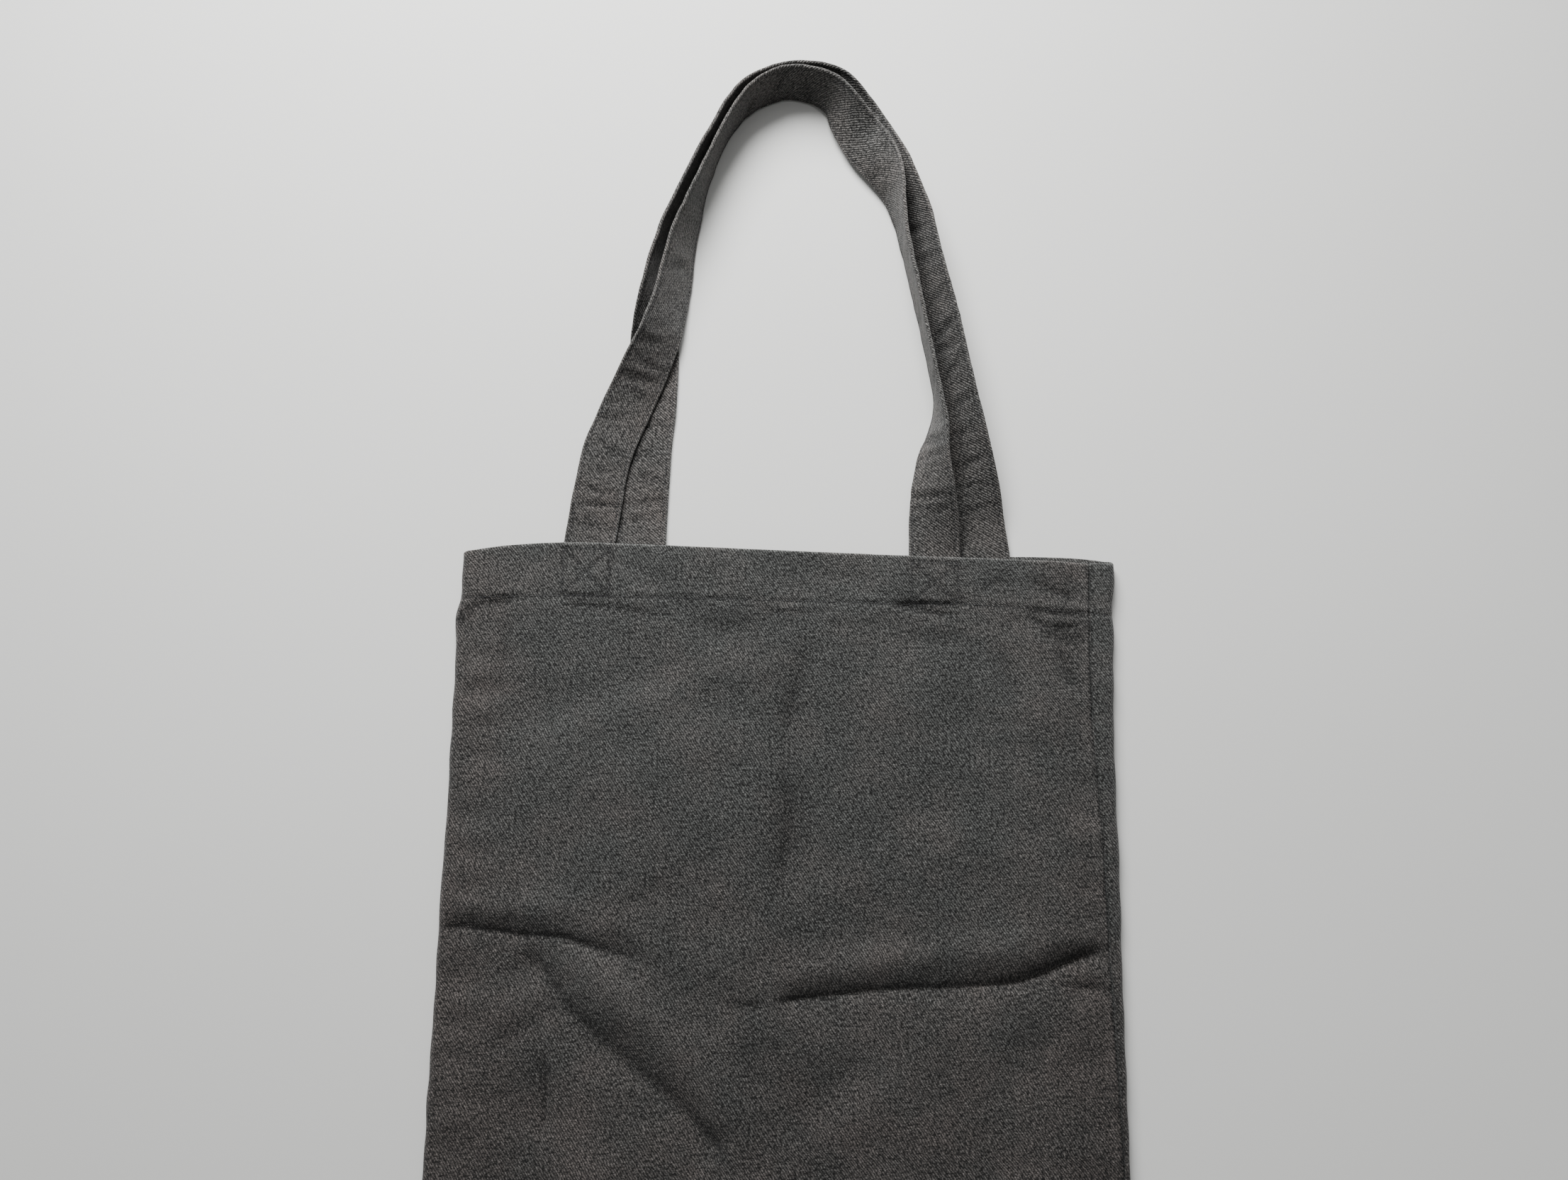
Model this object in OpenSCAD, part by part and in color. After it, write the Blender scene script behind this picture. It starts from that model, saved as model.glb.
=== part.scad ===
// Tote bag of cotton twill, lying flat with its front up and its two handles laid out past the mouth.
// Frame: X across the bag, +Y from the bottom seam towards the handles, +Z up.
// The origin is the centre of the bag's underside, on the surface that it lies on.

/* [Bag] */
// Width of the bag
bag_w = 380; // [360:1:400]
// Length of the bag from the bottom seam to the mouth
bag_l = 420; // [400:1:440]
// Height of the bag as it lies, over both panels
bag_h = 9; // [9:0.5:12]
// Thickness of one layer of cloth
cloth_t = 0.8; // [0.6:0.1:1]
// Opening between two bodies that move apart
gap = 0.3; // [0.3:0.05:0.4]

/* [Hem and seams] */
// Depth of the hem that is turned in at the mouth
hem_depth = 32; // [28:1:36]
// Distance of the hem's stitching below the mouth
hem_stitch_y = 30; // [26:1:30]
// Width of the allowance inside each seam
allowance_w = 10; // [8:1:12]
// Thickness of a sewing thread
thread_t = 0.5; // [0.4:0.1:0.6]

/* [Handles] */
// Width of a handle's strap
strap_w = 29.6; // [28:0.1:29.8]
// Thickness of a strap, four layers pressed flat
strap_t = 2.2; // [1.8:0.1:2.3]
// Spacing of the two ends of one handle
strap_spacing = 202.4; // [200:0.2:206]
// Sideways shift of each panel's middle, where the bag has rolled over at its sides
panel_shift = 15.1; // [15.1:0.1:15.4]
// Length of strap sewn inside the hem
strap_end_l = 30; // [26:1:32]
// Distance of a handle's edge stitching from the edge
edge_stitch = 2.5; // [2:0.5:4]

/* [Hidden] */

half_w = bag_w / 2;
mouth_y = bag_l / 2;
bottom_y = -bag_l / 2;
hem_y = mouth_y - hem_depth;
edge_clear = 0.5;
allowance_t = 2 * cloth_t;
sewn_depth = thread_t / 2;
lockstitch_in = 1;
overlock_in = 3;
strap_ease = 0.5;

// How far each side seam has rolled in from the bag's edge: [distance below the mouth, roll].
// The right seam has rolled to the front, and the left seam to the underside.
seam_roll = [[0, 15], [90, 13.5], [220, 7], [340, 3.5], [bag_l, 2]];

// Levels of the layers, from the underside up
back_hem_z = cloth_t;
back_strap_z = 2 * cloth_t;
front_panel_z = bag_h - cloth_t;
front_hem_z = bag_h - 2 * cloth_t;
front_strap_z = front_hem_z - strap_t;

// Middles of the strap ends, left and right
front_end_x = [-panel_shift - strap_spacing / 2, -panel_shift + strap_spacing / 2];
back_end_x = [panel_shift - strap_spacing / 2, panel_shift + strap_spacing / 2];

// Box and cross of stitching that holds each strap end
box_stitch_w = 26;
box_stitch_l = 24;
box_stitch_y = mouth_y - 17;

// Each handle's course from its left end to its right end: [x, distance past the mouth, height of the
// lower edge, tilt of the strap's width in degrees, with the loop's outer edge raised].
front_route = [
    [-116.3, 2, front_strap_z, 0], [-114.5, 15, 3.6, 5], [-112, 34, 3.1, 10], [-108, 59, 3.1, 12],
    [-101.5, 78, 3.1, 12], [-92.5, 99, 3.1, 20], [-84, 118, 3.8, 34], [-77.5, 134, 3.8, 44], [-73, 153, 1.6, 52],
    [-70, 170, 0.3, 57], [-67, 190, 0.3, 65], [-62, 209, 0.3, 75], [-56.5, 228, 0.3, 86],
    [-49, 250, 0.3, 92], [-39.5, 271, 0.3, 94], [-26, 288, 0.3, 88], [-8, 297, 0.3, 82], [9, 296, 0.6, 78],
    [22, 289, 2, 68], [31, 276, 3.1, 50], [41, 262, 3.1, 36], [52, 246, 3, 45], [60, 229, 1.2, 68],
    [64.5, 209, 0.3, 84], [69, 187, 0.3, 89], [74.5, 162, 0.3, 90], [79, 139, 0.3, 91], [83.5, 117, 0.3, 91],
    [87, 97, 0.3, 90], [87.5, 79, 0.3, 76], [84.5, 60, 1.2, 57], [84.5, 40, 3.4, 36], [85.5, 19, 4, 14],
    [86.1, 2, front_strap_z, 0]];
back_route = [
    [-86.1, 2, back_strap_z, 0], [-86, 22, 0.4, 0], [-85.5, 50, 0.3, 0], [-84, 80, 0.3, 0],
    [-82.5, 107, 0.3, 0], [-82.5, 122, 0.3, 6], [-82, 139, 0.3, 32], [-82, 158, 0.3, 60],
    [-81, 177, 0.3, 77], [-77, 199, 0.3, 88], [-68.5, 222, 0.3, 93], [-60, 243, 0.3, 94],
    [-51, 263, 0.3, 94], [-41.5, 281, 0.3, 92], [-28, 295, 0.3, 90], [-9, 302, 0.3, 86], [9, 302, 0.3, 80],
    [26, 294, 0.3, 64], [36, 280, 0.3, 44], [45, 266, 0.3, 38], [57, 248, 0.3, 50], [67.5, 229, 0.3, 63],
    [75.5, 208, 0.3, 66], [81, 184, 0.3, 64], [87.5, 158, 0.3, 58], [94.5, 132, 0.3, 51], [100.5, 106, 0.3, 42],
    [104.5, 78, 0.3, 30], [109.5, 50, 0.3, 16], [113.5, 24, 0.4, 4], [116.3, 2, back_strap_z, 0]];
rings_between = 2;

// Cubic through p1 and p2 that heads from p0 to p2 at p1 and from p1 to p3 at p2
function cubic(p0, p1, p2, p3, t) = 0.5 * (2 * p1 + (p2 - p0) * t + (2 * p0 - 5 * p1 + 4 * p2 - p3) * t * t
    + (3 * p1 - p0 - 3 * p2 + p3) * t * t * t);
function clamped(list, i) = list[max(0, min(len(list) - 1, i))];
function smooth(list, n) = [for (i = [0 : len(list) - 2]) for (k = [0 : n - 1])
    cubic(clamped(list, i - 1), list[i], list[i + 1], clamped(list, i + 2), k / n), list[len(list) - 1]];
// Direction of the course at ring i, level with the ground; both end rings are square to the mouth
function heading(course, i) = let (a = clamped(course, i - 1), b = clamped(course, i + 1),
    d = [b[0] - a[0], b[1] - a[1]]) i == 0 ? [0, 1] : i == len(course) - 1 ? [0, -1] : d / norm(d);
// The strap's width direction, from the loop's inner edge to its raised outer edge
function across(course, i) = let (h = heading(course, i), tilt = course[i][3])
    [-h[1] * cos(tilt), h[0] * cos(tilt), sin(tilt)];
// The direction out of the strap's upper face
function upward(course, i) = let (h = heading(course, i), tilt = course[i][3])
    [h[1] * sin(tilt), -h[0] * sin(tilt), cos(tilt)];
// Middle of the strap at ring i, so that its lowest point is at the course's height
function middle(course, i) = let (c = course[i], lift = strap_w / 2 * abs(sin(c[3])) + strap_t / 2 * cos(c[3]))
    [c[0], mouth_y + c[1], c[2] + lift];
// Ring of the section's corners, each corner given as [along the width, along the thickness]
function ring(course, i, section) = [for (s = section)
    middle(course, i) + s[0] * across(course, i) + s[1] * upward(course, i)];

// A section carried along a course, closed at both ends
module sweep(course, section) {
    sides = len(section);
    count = len(course);
    points = [for (i = [0 : count - 1]) each ring(course, i, section)];
    walls = [for (i = [0 : count - 2]) for (k = [0 : sides - 1])
        let (a = i * sides + k, b = i * sides + (k + 1) % sides) each [[a, a + sides, b], [b, a + sides, b + sides]]];
    first = [for (k = [0 : sides - 1]) k];
    last = [for (k = [0 : sides - 1]) count * sides - 1 - k];
    polyhedron(points, concat(walls, [first, last]));
}

// Flat section with its edges eased, as a pressed strap has
function strap_section(w, t, ease) = [[-w / 2, t / 2 - ease], [-w / 2, ease - t / 2], [ease - w / 2, -t / 2],
    [w / 2 - ease, -t / 2], [w / 2, ease - t / 2], [w / 2, t / 2 - ease], [w / 2 - ease, t / 2],
    [ease - w / 2, t / 2]];
function thread_section(x, z) = let (r = thread_t / 2) [[x - r, z + r], [x - r, z - r], [x + r, z - r], [x + r, z + r]];

module box(low, high) {
    translate(low) cube(high - low);
}

// Distance from the bag's middle to a rolled seam, moved outwards by d and kept inside the side fold
function seam_x(p, d, room) = min(half_w - p[1] + d, half_w - cloth_t - room);

// Layer that follows a rolled seam, between two distances outwards from it; side is 1 right, -1 left
module seam_strip(side, from, to, width, z0, z1) {
    near = [for (p = seam_roll) [side * seam_x(p, from, width), mouth_y - p[0]]];
    far = [for (i = [len(seam_roll) - 1 : -1 : 0])
        [side * seam_x(seam_roll[i], to, 0), mouth_y - seam_roll[i][0]]];
    intersection() {
        translate([0, 0, z0]) linear_extrude(z1 - z0) polygon(concat(near, far));
        box([-half_w, bottom_y + cloth_t + allowance_w, z0 - 1], [half_w, mouth_y - edge_clear, z1 + 1]);
    }
}

// Plan of the front panel, from the left fold to the rolled right seam, drawn in by an inset
module front_plan(inset) {
    right = [for (p = seam_roll) [half_w - p[1] - gap - inset, mouth_y - p[0]]];
    left_x = cloth_t + gap + inset - half_w;
    polygon(concat(right, [[left_x, bottom_y], [left_x, mouth_y]]));
}

// Layer of the front panel's plan between two distances along Y
module front_layer(y0, y1, z0, inset) {
    intersection() {
        translate([0, 0, z0]) linear_extrude(cloth_t) front_plan(inset);
        box([-half_w, y0, z0 - 1], [half_w, y1, z0 + cloth_t + 1]);
    }
}

module strap_end(x, z) {
    color([0.27, 0.26, 0.26])
        box([x - strap_w / 2, mouth_y - strap_end_l, z], [x + strap_w / 2, mouth_y + edge_clear, z + strap_t]);
}

// Square of stitching with its two diagonals, centred on x, from height z up
module box_stitch(x, z) {
    half_x = box_stitch_w / 2;
    half_y = box_stitch_l / 2;
    reach = norm([half_x, half_y]) - thread_t;
    turn = atan2(half_y, half_x);
    color([0.1, 0.1, 0.11]) translate([x, box_stitch_y, z]) {
        difference() {
            box([-half_x, -half_y, 0], [half_x, half_y, thread_t]);
            box([thread_t - half_x, thread_t - half_y, -1], [half_x - thread_t, half_y - thread_t, thread_t + 1]);
        }
        for (angle = [-turn, turn])
            rotate([0, 0, angle]) box([-reach, -thread_t / 2, 0], [reach, thread_t / 2, thread_t]);
    }
}

// One straight line of stitching along X, from height z up
module stitch_line(x0, x1, y, z) {
    color([0.1, 0.1, 0.11]) box([x0, y - thread_t / 2, z], [x1, y + thread_t / 2, z + thread_t]);
}

// The two allowances of a side seam, pressed towards the fold, from height z up
module side_seam(side, z) {
    color([0.24, 0.24, 0.25]) seam_strip(side, 0, allowance_w, cloth_t, z, z + allowance_t);
}

// Lockstitching near the seam and overlocking near the raw edge, from height z up
module side_seam_stitching(side, z) {
    color([0.1, 0.1, 0.11])
        for (d = [lockstitch_in, allowance_w - overlock_in])
            seam_strip(side, d, d + thread_t, thread_t, z, z + thread_t);
}

// A handle's strap between its two ends
module handle(route) {
    color([0.27, 0.26, 0.26]) sweep(smooth(route, rings_between), strap_section(strap_w, strap_t, strap_ease));
}

// Stitching along both edges of a handle's upper face
module handle_stitching(route) {
    offset_x = strap_w / 2 - edge_stitch;
    color([0.1, 0.1, 0.11])
        for (x = [-offset_x, offset_x])
            sweep(smooth(route, rings_between), thread_section(x, strap_t / 2));
}

module back_panel() {
    wrap = concat([for (p = seam_roll) [half_w - p[1], mouth_y - p[0]]], [[half_w, bottom_y], [half_w, mouth_y]]);
    color([0.22, 0.22, 0.23]) {
        box([-half_w, bottom_y, 0], [half_w, mouth_y, cloth_t]);
        box([-half_w, bottom_y, 0], [cloth_t - half_w, mouth_y, bag_h]);
        box([half_w - cloth_t, bottom_y, 0], [half_w, mouth_y, bag_h]);
        box([-half_w, bottom_y, 0], [half_w, bottom_y + cloth_t, bag_h]);
        translate([0, 0, front_panel_z]) linear_extrude(cloth_t) polygon(wrap);
    }
}

module back_hem() {
    color([0.25, 0.25, 0.26])
        box([gap + seam_roll[0][1] - half_w, hem_y, back_hem_z],
            [half_w - cloth_t, mouth_y - edge_clear, back_hem_z + cloth_t]);
}

// The bobbin's thread inside, and the needle's thread sunk in the underside
module back_hem_stitching() {
    x0 = seam_roll[0][1] + 1 - half_w;
    x1 = half_w - cloth_t - 1;
    stitch_line(x0, x1, mouth_y - hem_stitch_y, back_strap_z - sewn_depth);
    stitch_line(x0, x1, mouth_y - hem_stitch_y, 0);
}

module back_strap_end_left() {
    strap_end(back_end_x[0], back_strap_z);
}

module back_strap_end_right() {
    strap_end(back_end_x[1], back_strap_z);
}

module back_box_stitch_left() {
    box_stitch(back_end_x[0], back_strap_z + strap_t - sewn_depth);
    box_stitch(back_end_x[0], 0);
}

module back_box_stitch_right() {
    box_stitch(back_end_x[1], back_strap_z + strap_t - sewn_depth);
    box_stitch(back_end_x[1], 0);
}

module left_side_seam() {
    side_seam(-1, cloth_t);
}

module right_side_seam() {
    side_seam(1, front_panel_z - allowance_t);
}

module left_seam_stitching() {
    side_seam_stitching(-1, cloth_t + allowance_t - sewn_depth);
}

module right_seam_stitching() {
    side_seam_stitching(1, front_panel_z - allowance_t - sewn_depth);
}

module bottom_seam() {
    color([0.24, 0.24, 0.25])
        box([cloth_t - half_w, bottom_y + cloth_t, cloth_t],
            [half_w - cloth_t, bottom_y + allowance_w, cloth_t + allowance_t]);
}

module bottom_seam_stitching() {
    for (d = [lockstitch_in + cloth_t, allowance_w - overlock_in])
        stitch_line(cloth_t + 1 - half_w, half_w - cloth_t - 1, bottom_y + d, cloth_t + allowance_t - sewn_depth);
}

module front_panel() {
    color([0.22, 0.22, 0.23]) front_layer(bottom_y + cloth_t + gap, mouth_y, front_panel_z, 0);
}

module front_hem() {
    color([0.25, 0.25, 0.26]) front_layer(hem_y, mouth_y - edge_clear, front_hem_z, edge_clear);
}

module front_hem_stitching() {
    x0 = cloth_t + 2 - half_w;
    x1 = half_w - seam_roll[0][1] - 2;
    stitch_line(x0, x1, mouth_y - hem_stitch_y, bag_h - sewn_depth);
    stitch_line(x0, x1, mouth_y - hem_stitch_y, front_hem_z - sewn_depth);
}

module front_strap_end_left() {
    strap_end(front_end_x[0], front_strap_z);
}

module front_strap_end_right() {
    strap_end(front_end_x[1], front_strap_z);
}

module front_box_stitch_left() {
    box_stitch(front_end_x[0], bag_h - sewn_depth);
    box_stitch(front_end_x[0], front_strap_z - sewn_depth);
}

module front_box_stitch_right() {
    box_stitch(front_end_x[1], bag_h - sewn_depth);
    box_stitch(front_end_x[1], front_strap_z - sewn_depth);
}

module front_handle() {
    handle(front_route);
}

module front_handle_stitching() {
    handle_stitching(front_route);
}

module back_handle() {
    handle(back_route);
}

module back_handle_stitching() {
    handle_stitching(back_route);
}

back_panel();
back_hem();
back_hem_stitching();
back_strap_end_left();
back_strap_end_right();
back_box_stitch_left();
back_box_stitch_right();
left_side_seam();
right_side_seam();
left_seam_stitching();
right_seam_stitching();
bottom_seam();
bottom_seam_stitching();
front_panel();
front_hem();
front_hem_stitching();
front_strap_end_left();
front_strap_end_right();
front_box_stitch_left();
front_box_stitch_right();
front_handle();
front_handle_stitching();
back_handle();
back_handle_stitching();
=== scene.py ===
"""A charcoal canvas tote bag lying flat with its two handles spread above the mouth.

All shapes are worked out in millimetres, in the bag's own frame: X across, Y towards the handles, Z up
from the ground it lies on. They are put into the meshes in metres.
"""
import math

import bpy
import numpy as np
from mathutils import Matrix, Vector


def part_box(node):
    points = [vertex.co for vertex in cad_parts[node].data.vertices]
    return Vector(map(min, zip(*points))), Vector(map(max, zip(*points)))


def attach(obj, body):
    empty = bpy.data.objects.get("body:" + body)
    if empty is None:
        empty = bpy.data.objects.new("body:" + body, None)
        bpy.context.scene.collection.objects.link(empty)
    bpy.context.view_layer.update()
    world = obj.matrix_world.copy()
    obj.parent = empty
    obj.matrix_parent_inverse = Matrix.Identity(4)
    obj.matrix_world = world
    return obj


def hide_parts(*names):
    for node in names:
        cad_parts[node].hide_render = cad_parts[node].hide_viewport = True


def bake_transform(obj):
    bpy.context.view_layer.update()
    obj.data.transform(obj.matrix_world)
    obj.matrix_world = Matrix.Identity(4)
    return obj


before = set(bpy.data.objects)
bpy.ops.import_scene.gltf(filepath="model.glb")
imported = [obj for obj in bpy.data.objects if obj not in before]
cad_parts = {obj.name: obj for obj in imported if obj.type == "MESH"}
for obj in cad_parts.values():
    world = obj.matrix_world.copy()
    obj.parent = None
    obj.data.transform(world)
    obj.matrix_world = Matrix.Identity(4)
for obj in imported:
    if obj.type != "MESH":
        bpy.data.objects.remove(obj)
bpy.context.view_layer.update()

# --------------------------------------------------------------------------------------------------
# Camera, floor and light
# --------------------------------------------------------------------------------------------------
CAMERA_PLACE = Vector((0.0113, 0.0768, 0.6813))
CAMERA_AIM = Vector((-0.0012, 0.1919, 0.0))
CAMERA_UP = Vector((-0.02155, 1.0, 0.0))
CAMERA_LENS = 27.07


def aimed(place, aim, up):
    """Matrix at place whose -Z looks at aim, with +Y as near to up as it can be."""
    back = (place - aim).normalized()
    right = up.cross(back).normalized()
    turn = Matrix((right, back.cross(right), back)).transposed()
    return Matrix.Translation(place) @ turn.to_4x4()


def make_camera():
    """Camera 0.68 m over the bag, aimed close to its mouth."""
    camera = bpy.data.objects.new("camera", bpy.data.cameras.new("camera"))
    camera.data.lens = CAMERA_LENS
    camera.data.sensor_width = 36.0
    camera.data.clip_start = 0.01
    camera.matrix_world = aimed(CAMERA_PLACE, CAMERA_AIM, CAMERA_UP)
    bpy.context.scene.collection.objects.link(camera)
    bpy.context.scene.camera = camera


def place_light(lamp, place, aim):
    """Hangs a lamp at a place, aimed at another."""
    light = bpy.data.objects.new(lamp.name, lamp)
    light.matrix_world = aimed(Vector(place), Vector(aim), Vector((0.0, 0.0, 1.0)))
    bpy.context.scene.collection.objects.link(light)


def make_window(place, aim, size, power):
    """Soft window light: a glowing disk, whose size is its width in metres and whose power is in watts."""
    lamp = bpy.data.lights.new("window", "AREA")
    lamp.shape = "DISK"
    lamp.size = size
    lamp.energy = power
    place_light(lamp, place, aim)


def make_sky(place, aim, spread, power):
    """Light from a broad patch of sky, as even near the object as far from it."""
    lamp = bpy.data.lights.new("sky", "SUN")
    lamp.angle = spread
    lamp.energy = power
    place_light(lamp, place, aim)


def make_world(colour, strength):
    """Even light from all round."""
    world = bpy.data.worlds.new("studio")
    world.use_nodes = True
    background = world.node_tree.nodes["Background"]
    background.inputs["Color"].default_value = (*colour, 1.0)
    background.inputs["Strength"].default_value = strength
    bpy.context.scene.world = world


make_camera()
make_window(place=(-0.20, 1.02, 0.64), aim=(0.0, 0.40, 0.0), size=0.6, power=26.0)
make_sky(place=(-0.15, 0.8, 1.5), aim=(0.0, 0.0, 0.0), spread=math.radians(80), power=0.75)
make_world(colour=(1.0, 1.0, 1.0), strength=0.20)

# --------------------------------------------------------------------------------------------------
# Sizes, in millimetres
# --------------------------------------------------------------------------------------------------
MM = 0.001
panel_low, panel_high = (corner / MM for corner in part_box("back_panel"))
HALF_W = panel_high.x
MOUTH_Y = panel_high.y
BOTTOM_Y = panel_low.y
BAG_H = panel_high.z
CLOTH_T = 0.8
HEM_GAP = 1.3            # from the middle of the cloth to the middle of the turned-in hem
HEM_DEPTH = 32.0
HEM_STITCH_Y = MOUTH_Y - 30.0
SEAM_GAP = 0.75          # from a side seam to the middle of the cloth beside it
SEAM_TURN = math.radians(80)
STRAP_W = 29.6
STRAP_T = 2.2
STRAP_EDGE_STITCH = 2.4  # from a strap's edge to its row of stitching
SEWN_END = 30.0          # how much of a strap's end lies inside a hem
THREAD_R = 0.24
STITCH_PITCH = 2.7
OVERLOCK_PITCH = 1.8
HALF_STEP = 0.6          # either side of a stitch, to find its direction
FRONT_END_X = (-116.3, 86.1)  # middles of the strap ends on each panel
BACK_END_X = (-86.1, 116.3)


# --------------------------------------------------------------------------------------------------
# Curves and fields
# --------------------------------------------------------------------------------------------------
def smoothstep(start, end, value):
    """0 before start, 1 after end, and t*t*(3 - 2*t) between them."""
    t = np.clip((value - start) / (end - start), 0.0, 1.0)
    return t * t * (3.0 - 2.0 * t)


def through(points, at):
    """Smooth curve through (place, value) points, read at the places in at: a cubic on each stretch,
    whose slope at a point is that between its neighbours."""
    place, value = np.array(points, float).T
    slope = np.gradient(value, place)
    i = np.clip(np.searchsorted(place, at) - 1, 0, len(place) - 2)
    span = place[i + 1] - place[i]
    t = np.clip((at - place[i]) / span, 0.0, 1.0)
    start = (1 + 2 * t) * (1 - t) ** 2 * value[i] + t * (1 - t) ** 2 * span * slope[i]
    return start + t * t * (3 - 2 * t) * value[i + 1] - t * t * (1 - t) * span * slope[i + 1]


def rounded(points, between):
    """Rows of points with `between` steps on each stretch, on cubics that pass through every given row
    and head there from the row before to the row after."""
    rows = np.array(points, float)
    padded = np.vstack([rows[:1], rows, rows[-1:]])
    t = (np.arange(between) / between)[None, :, None]
    before, here, after, later = (padded[k:len(rows) - 1 + k, None, :] for k in range(4))
    body = 0.5 * (2 * here + (after - before) * t + (2 * before - 5 * here + 4 * after - later) * t ** 2
                  + (3 * here - before - 3 * after + later) * t ** 3)
    return np.vstack([body.reshape(-1, rows.shape[1]), rows[-1:]])


def ripple(seed, x, y, shortest, longest, count=18):
    """Even random relief with a spread of about 1: the sum of `count` sine waves whose lengths lie
    between shortest and longest and whose directions and phases are random."""
    random = np.random.default_rng(seed)
    length = np.exp(random.uniform(math.log(shortest), math.log(longest), count))
    turn = random.uniform(0.0, math.pi, count)
    phase = random.uniform(0.0, 2 * math.pi, count)
    total = np.zeros(np.broadcast(x, y).shape)
    for k in range(count):
        total += np.sin(2 * math.pi * (x * math.cos(turn[k]) + y * math.sin(turn[k])) / length[k] + phase[k])
    return total / math.sqrt(count / 2)


def swell(x, y, middle, reach, turn=0.0):
    """Soft mound of height 1: exp(-(a/ra)^2 - (b/rb)^2), with a and b measured from its middle along
    axes turned by `turn` degrees."""
    c, s = math.cos(math.radians(turn)), math.sin(math.radians(turn))
    dx, dy = x - middle[0], y - middle[1]
    return np.exp(-((dx * c + dy * s) / reach[0]) ** 2 - ((dy * c - dx * s) / reach[1]) ** 2)


def groove(d, width):
    """Round-bottomed groove or ridge of height 1: exp(-(d / width)^2)."""
    return np.exp(-(d / width) ** 2)


def line_distance(x, y, points):
    """Signed distance to a line through the points, positive on the left of its direction, and how far
    along the line its nearest place lies, from 0 to 1."""
    nearest = np.full(np.shape(x), 1e9)
    side = np.ones(np.shape(x))
    along = np.zeros(np.shape(x))
    course = rounded(points, 5)
    lengths = np.hypot(*np.diff(course, axis=0).T)
    runs = np.concatenate([[0.0], np.cumsum(lengths)])
    for start, end, length, run in zip(course[:-1], course[1:], lengths, runs):
        step = (end - start) / length
        reach = np.clip((x - start[0]) * step[0] + (y - start[1]) * step[1], 0.0, length)
        dx, dy = x - start[0] - reach * step[0], y - start[1] - reach * step[1]
        distance = np.hypot(dx, dy)
        closer = distance < nearest
        nearest = np.where(closer, distance, nearest)
        side = np.where(closer, np.sign(step[0] * dy - step[1] * dx), side)
        along = np.where(closer, (run + reach) / runs[-1], along)
    return nearest * side, along


CREASE_ROUND = 0.8       # radius of the bottom of a crease


def crease(d, along, width, fade):
    """Valley of depth 1 at a distance d from a line: exp(-(hypot(d, r) - r) / width), with a width for
    each side of the line, which fades out over a share of its length at each end. r is the radius of its
    bottom."""
    side = np.where(d > 0, width[0], width[1])
    shape = np.exp(-(np.hypot(d, CREASE_ROUND) - CREASE_ROUND) / side)
    return shape * smoothstep(0, fade[0], along) * smoothstep(0, fade[1], 1 - along)


# --------------------------------------------------------------------------------------------------
# Meshes
# --------------------------------------------------------------------------------------------------
def grid_faces(rows, columns, first=0, closed=False):
    """Corners of the squares of a grid of points that is numbered row by row; a closed grid's last
    column joins its first."""
    i = np.arange(rows - 1)[:, None]
    j = np.arange(columns if closed else columns - 1)[None, :]
    next_j = (j + 1) % columns
    here, next_i = i * columns, (i + 1) * columns
    quads = np.stack([here + j, here + next_j, next_i + next_j, next_i + j], -1)
    return quads.reshape(-1, 4) + first


def signed_volume(points, quads):
    """Six times the volume inside the faces: the sum of a . (b x c) over their triangles, below zero
    when they point inwards."""
    a, b, c, d = (points[quads[:, k]] for k in range(4))
    return (np.einsum("ij,ij->i", a, np.cross(b, c)) + np.einsum("ij,ij->i", a, np.cross(c, d))).sum()


def make_piece(name, points, quads, uv, uv_quads, material, fields):
    """Closed mesh from points in millimetres, turned so that its faces point outwards. uv holds places
    on the cloth in millimetres, and uv_quads says which of them each face's corners have. fields are
    numbers at each point."""
    if signed_volume(points, quads) < 0:
        quads = quads[:, ::-1]
        uv_quads = uv_quads[:, ::-1]
    mesh = bpy.data.meshes.new(name)
    mesh.vertices.add(len(points))
    mesh.vertices.foreach_set("co", (points * MM).astype(np.float32).ravel())
    mesh.loops.add(quads.size)
    mesh.loops.foreach_set("vertex_index", quads.astype(np.int32).ravel())
    mesh.polygons.add(len(quads))
    mesh.polygons.foreach_set("loop_start", np.arange(0, quads.size, 4, dtype=np.int32))
    mesh.polygons.foreach_set("use_smooth", np.ones(len(quads), bool))
    mesh.update(calc_edges=True)
    layer = mesh.uv_layers.new(name="cloth")
    layer.data.foreach_set("uv", (uv[uv_quads] * MM).astype(np.float32).ravel())
    for field, values in fields.items():
        attribute = mesh.attributes.new(field, "FLOAT", "POINT")
        attribute.data.foreach_set("value", values.astype(np.float32).ravel())
    mesh.validate()
    mesh.materials.append(material)
    piece = bpy.data.objects.new(name, mesh)
    bpy.context.scene.collection.objects.link(piece)
    return piece


def grid_normals(middle):
    """Unit normals of a grid of points: the cross product of its two directions."""
    normal = np.cross(np.gradient(middle, axis=1), np.gradient(middle, axis=0))
    return normal / np.linalg.norm(normal, axis=-1, keepdims=True)


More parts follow.
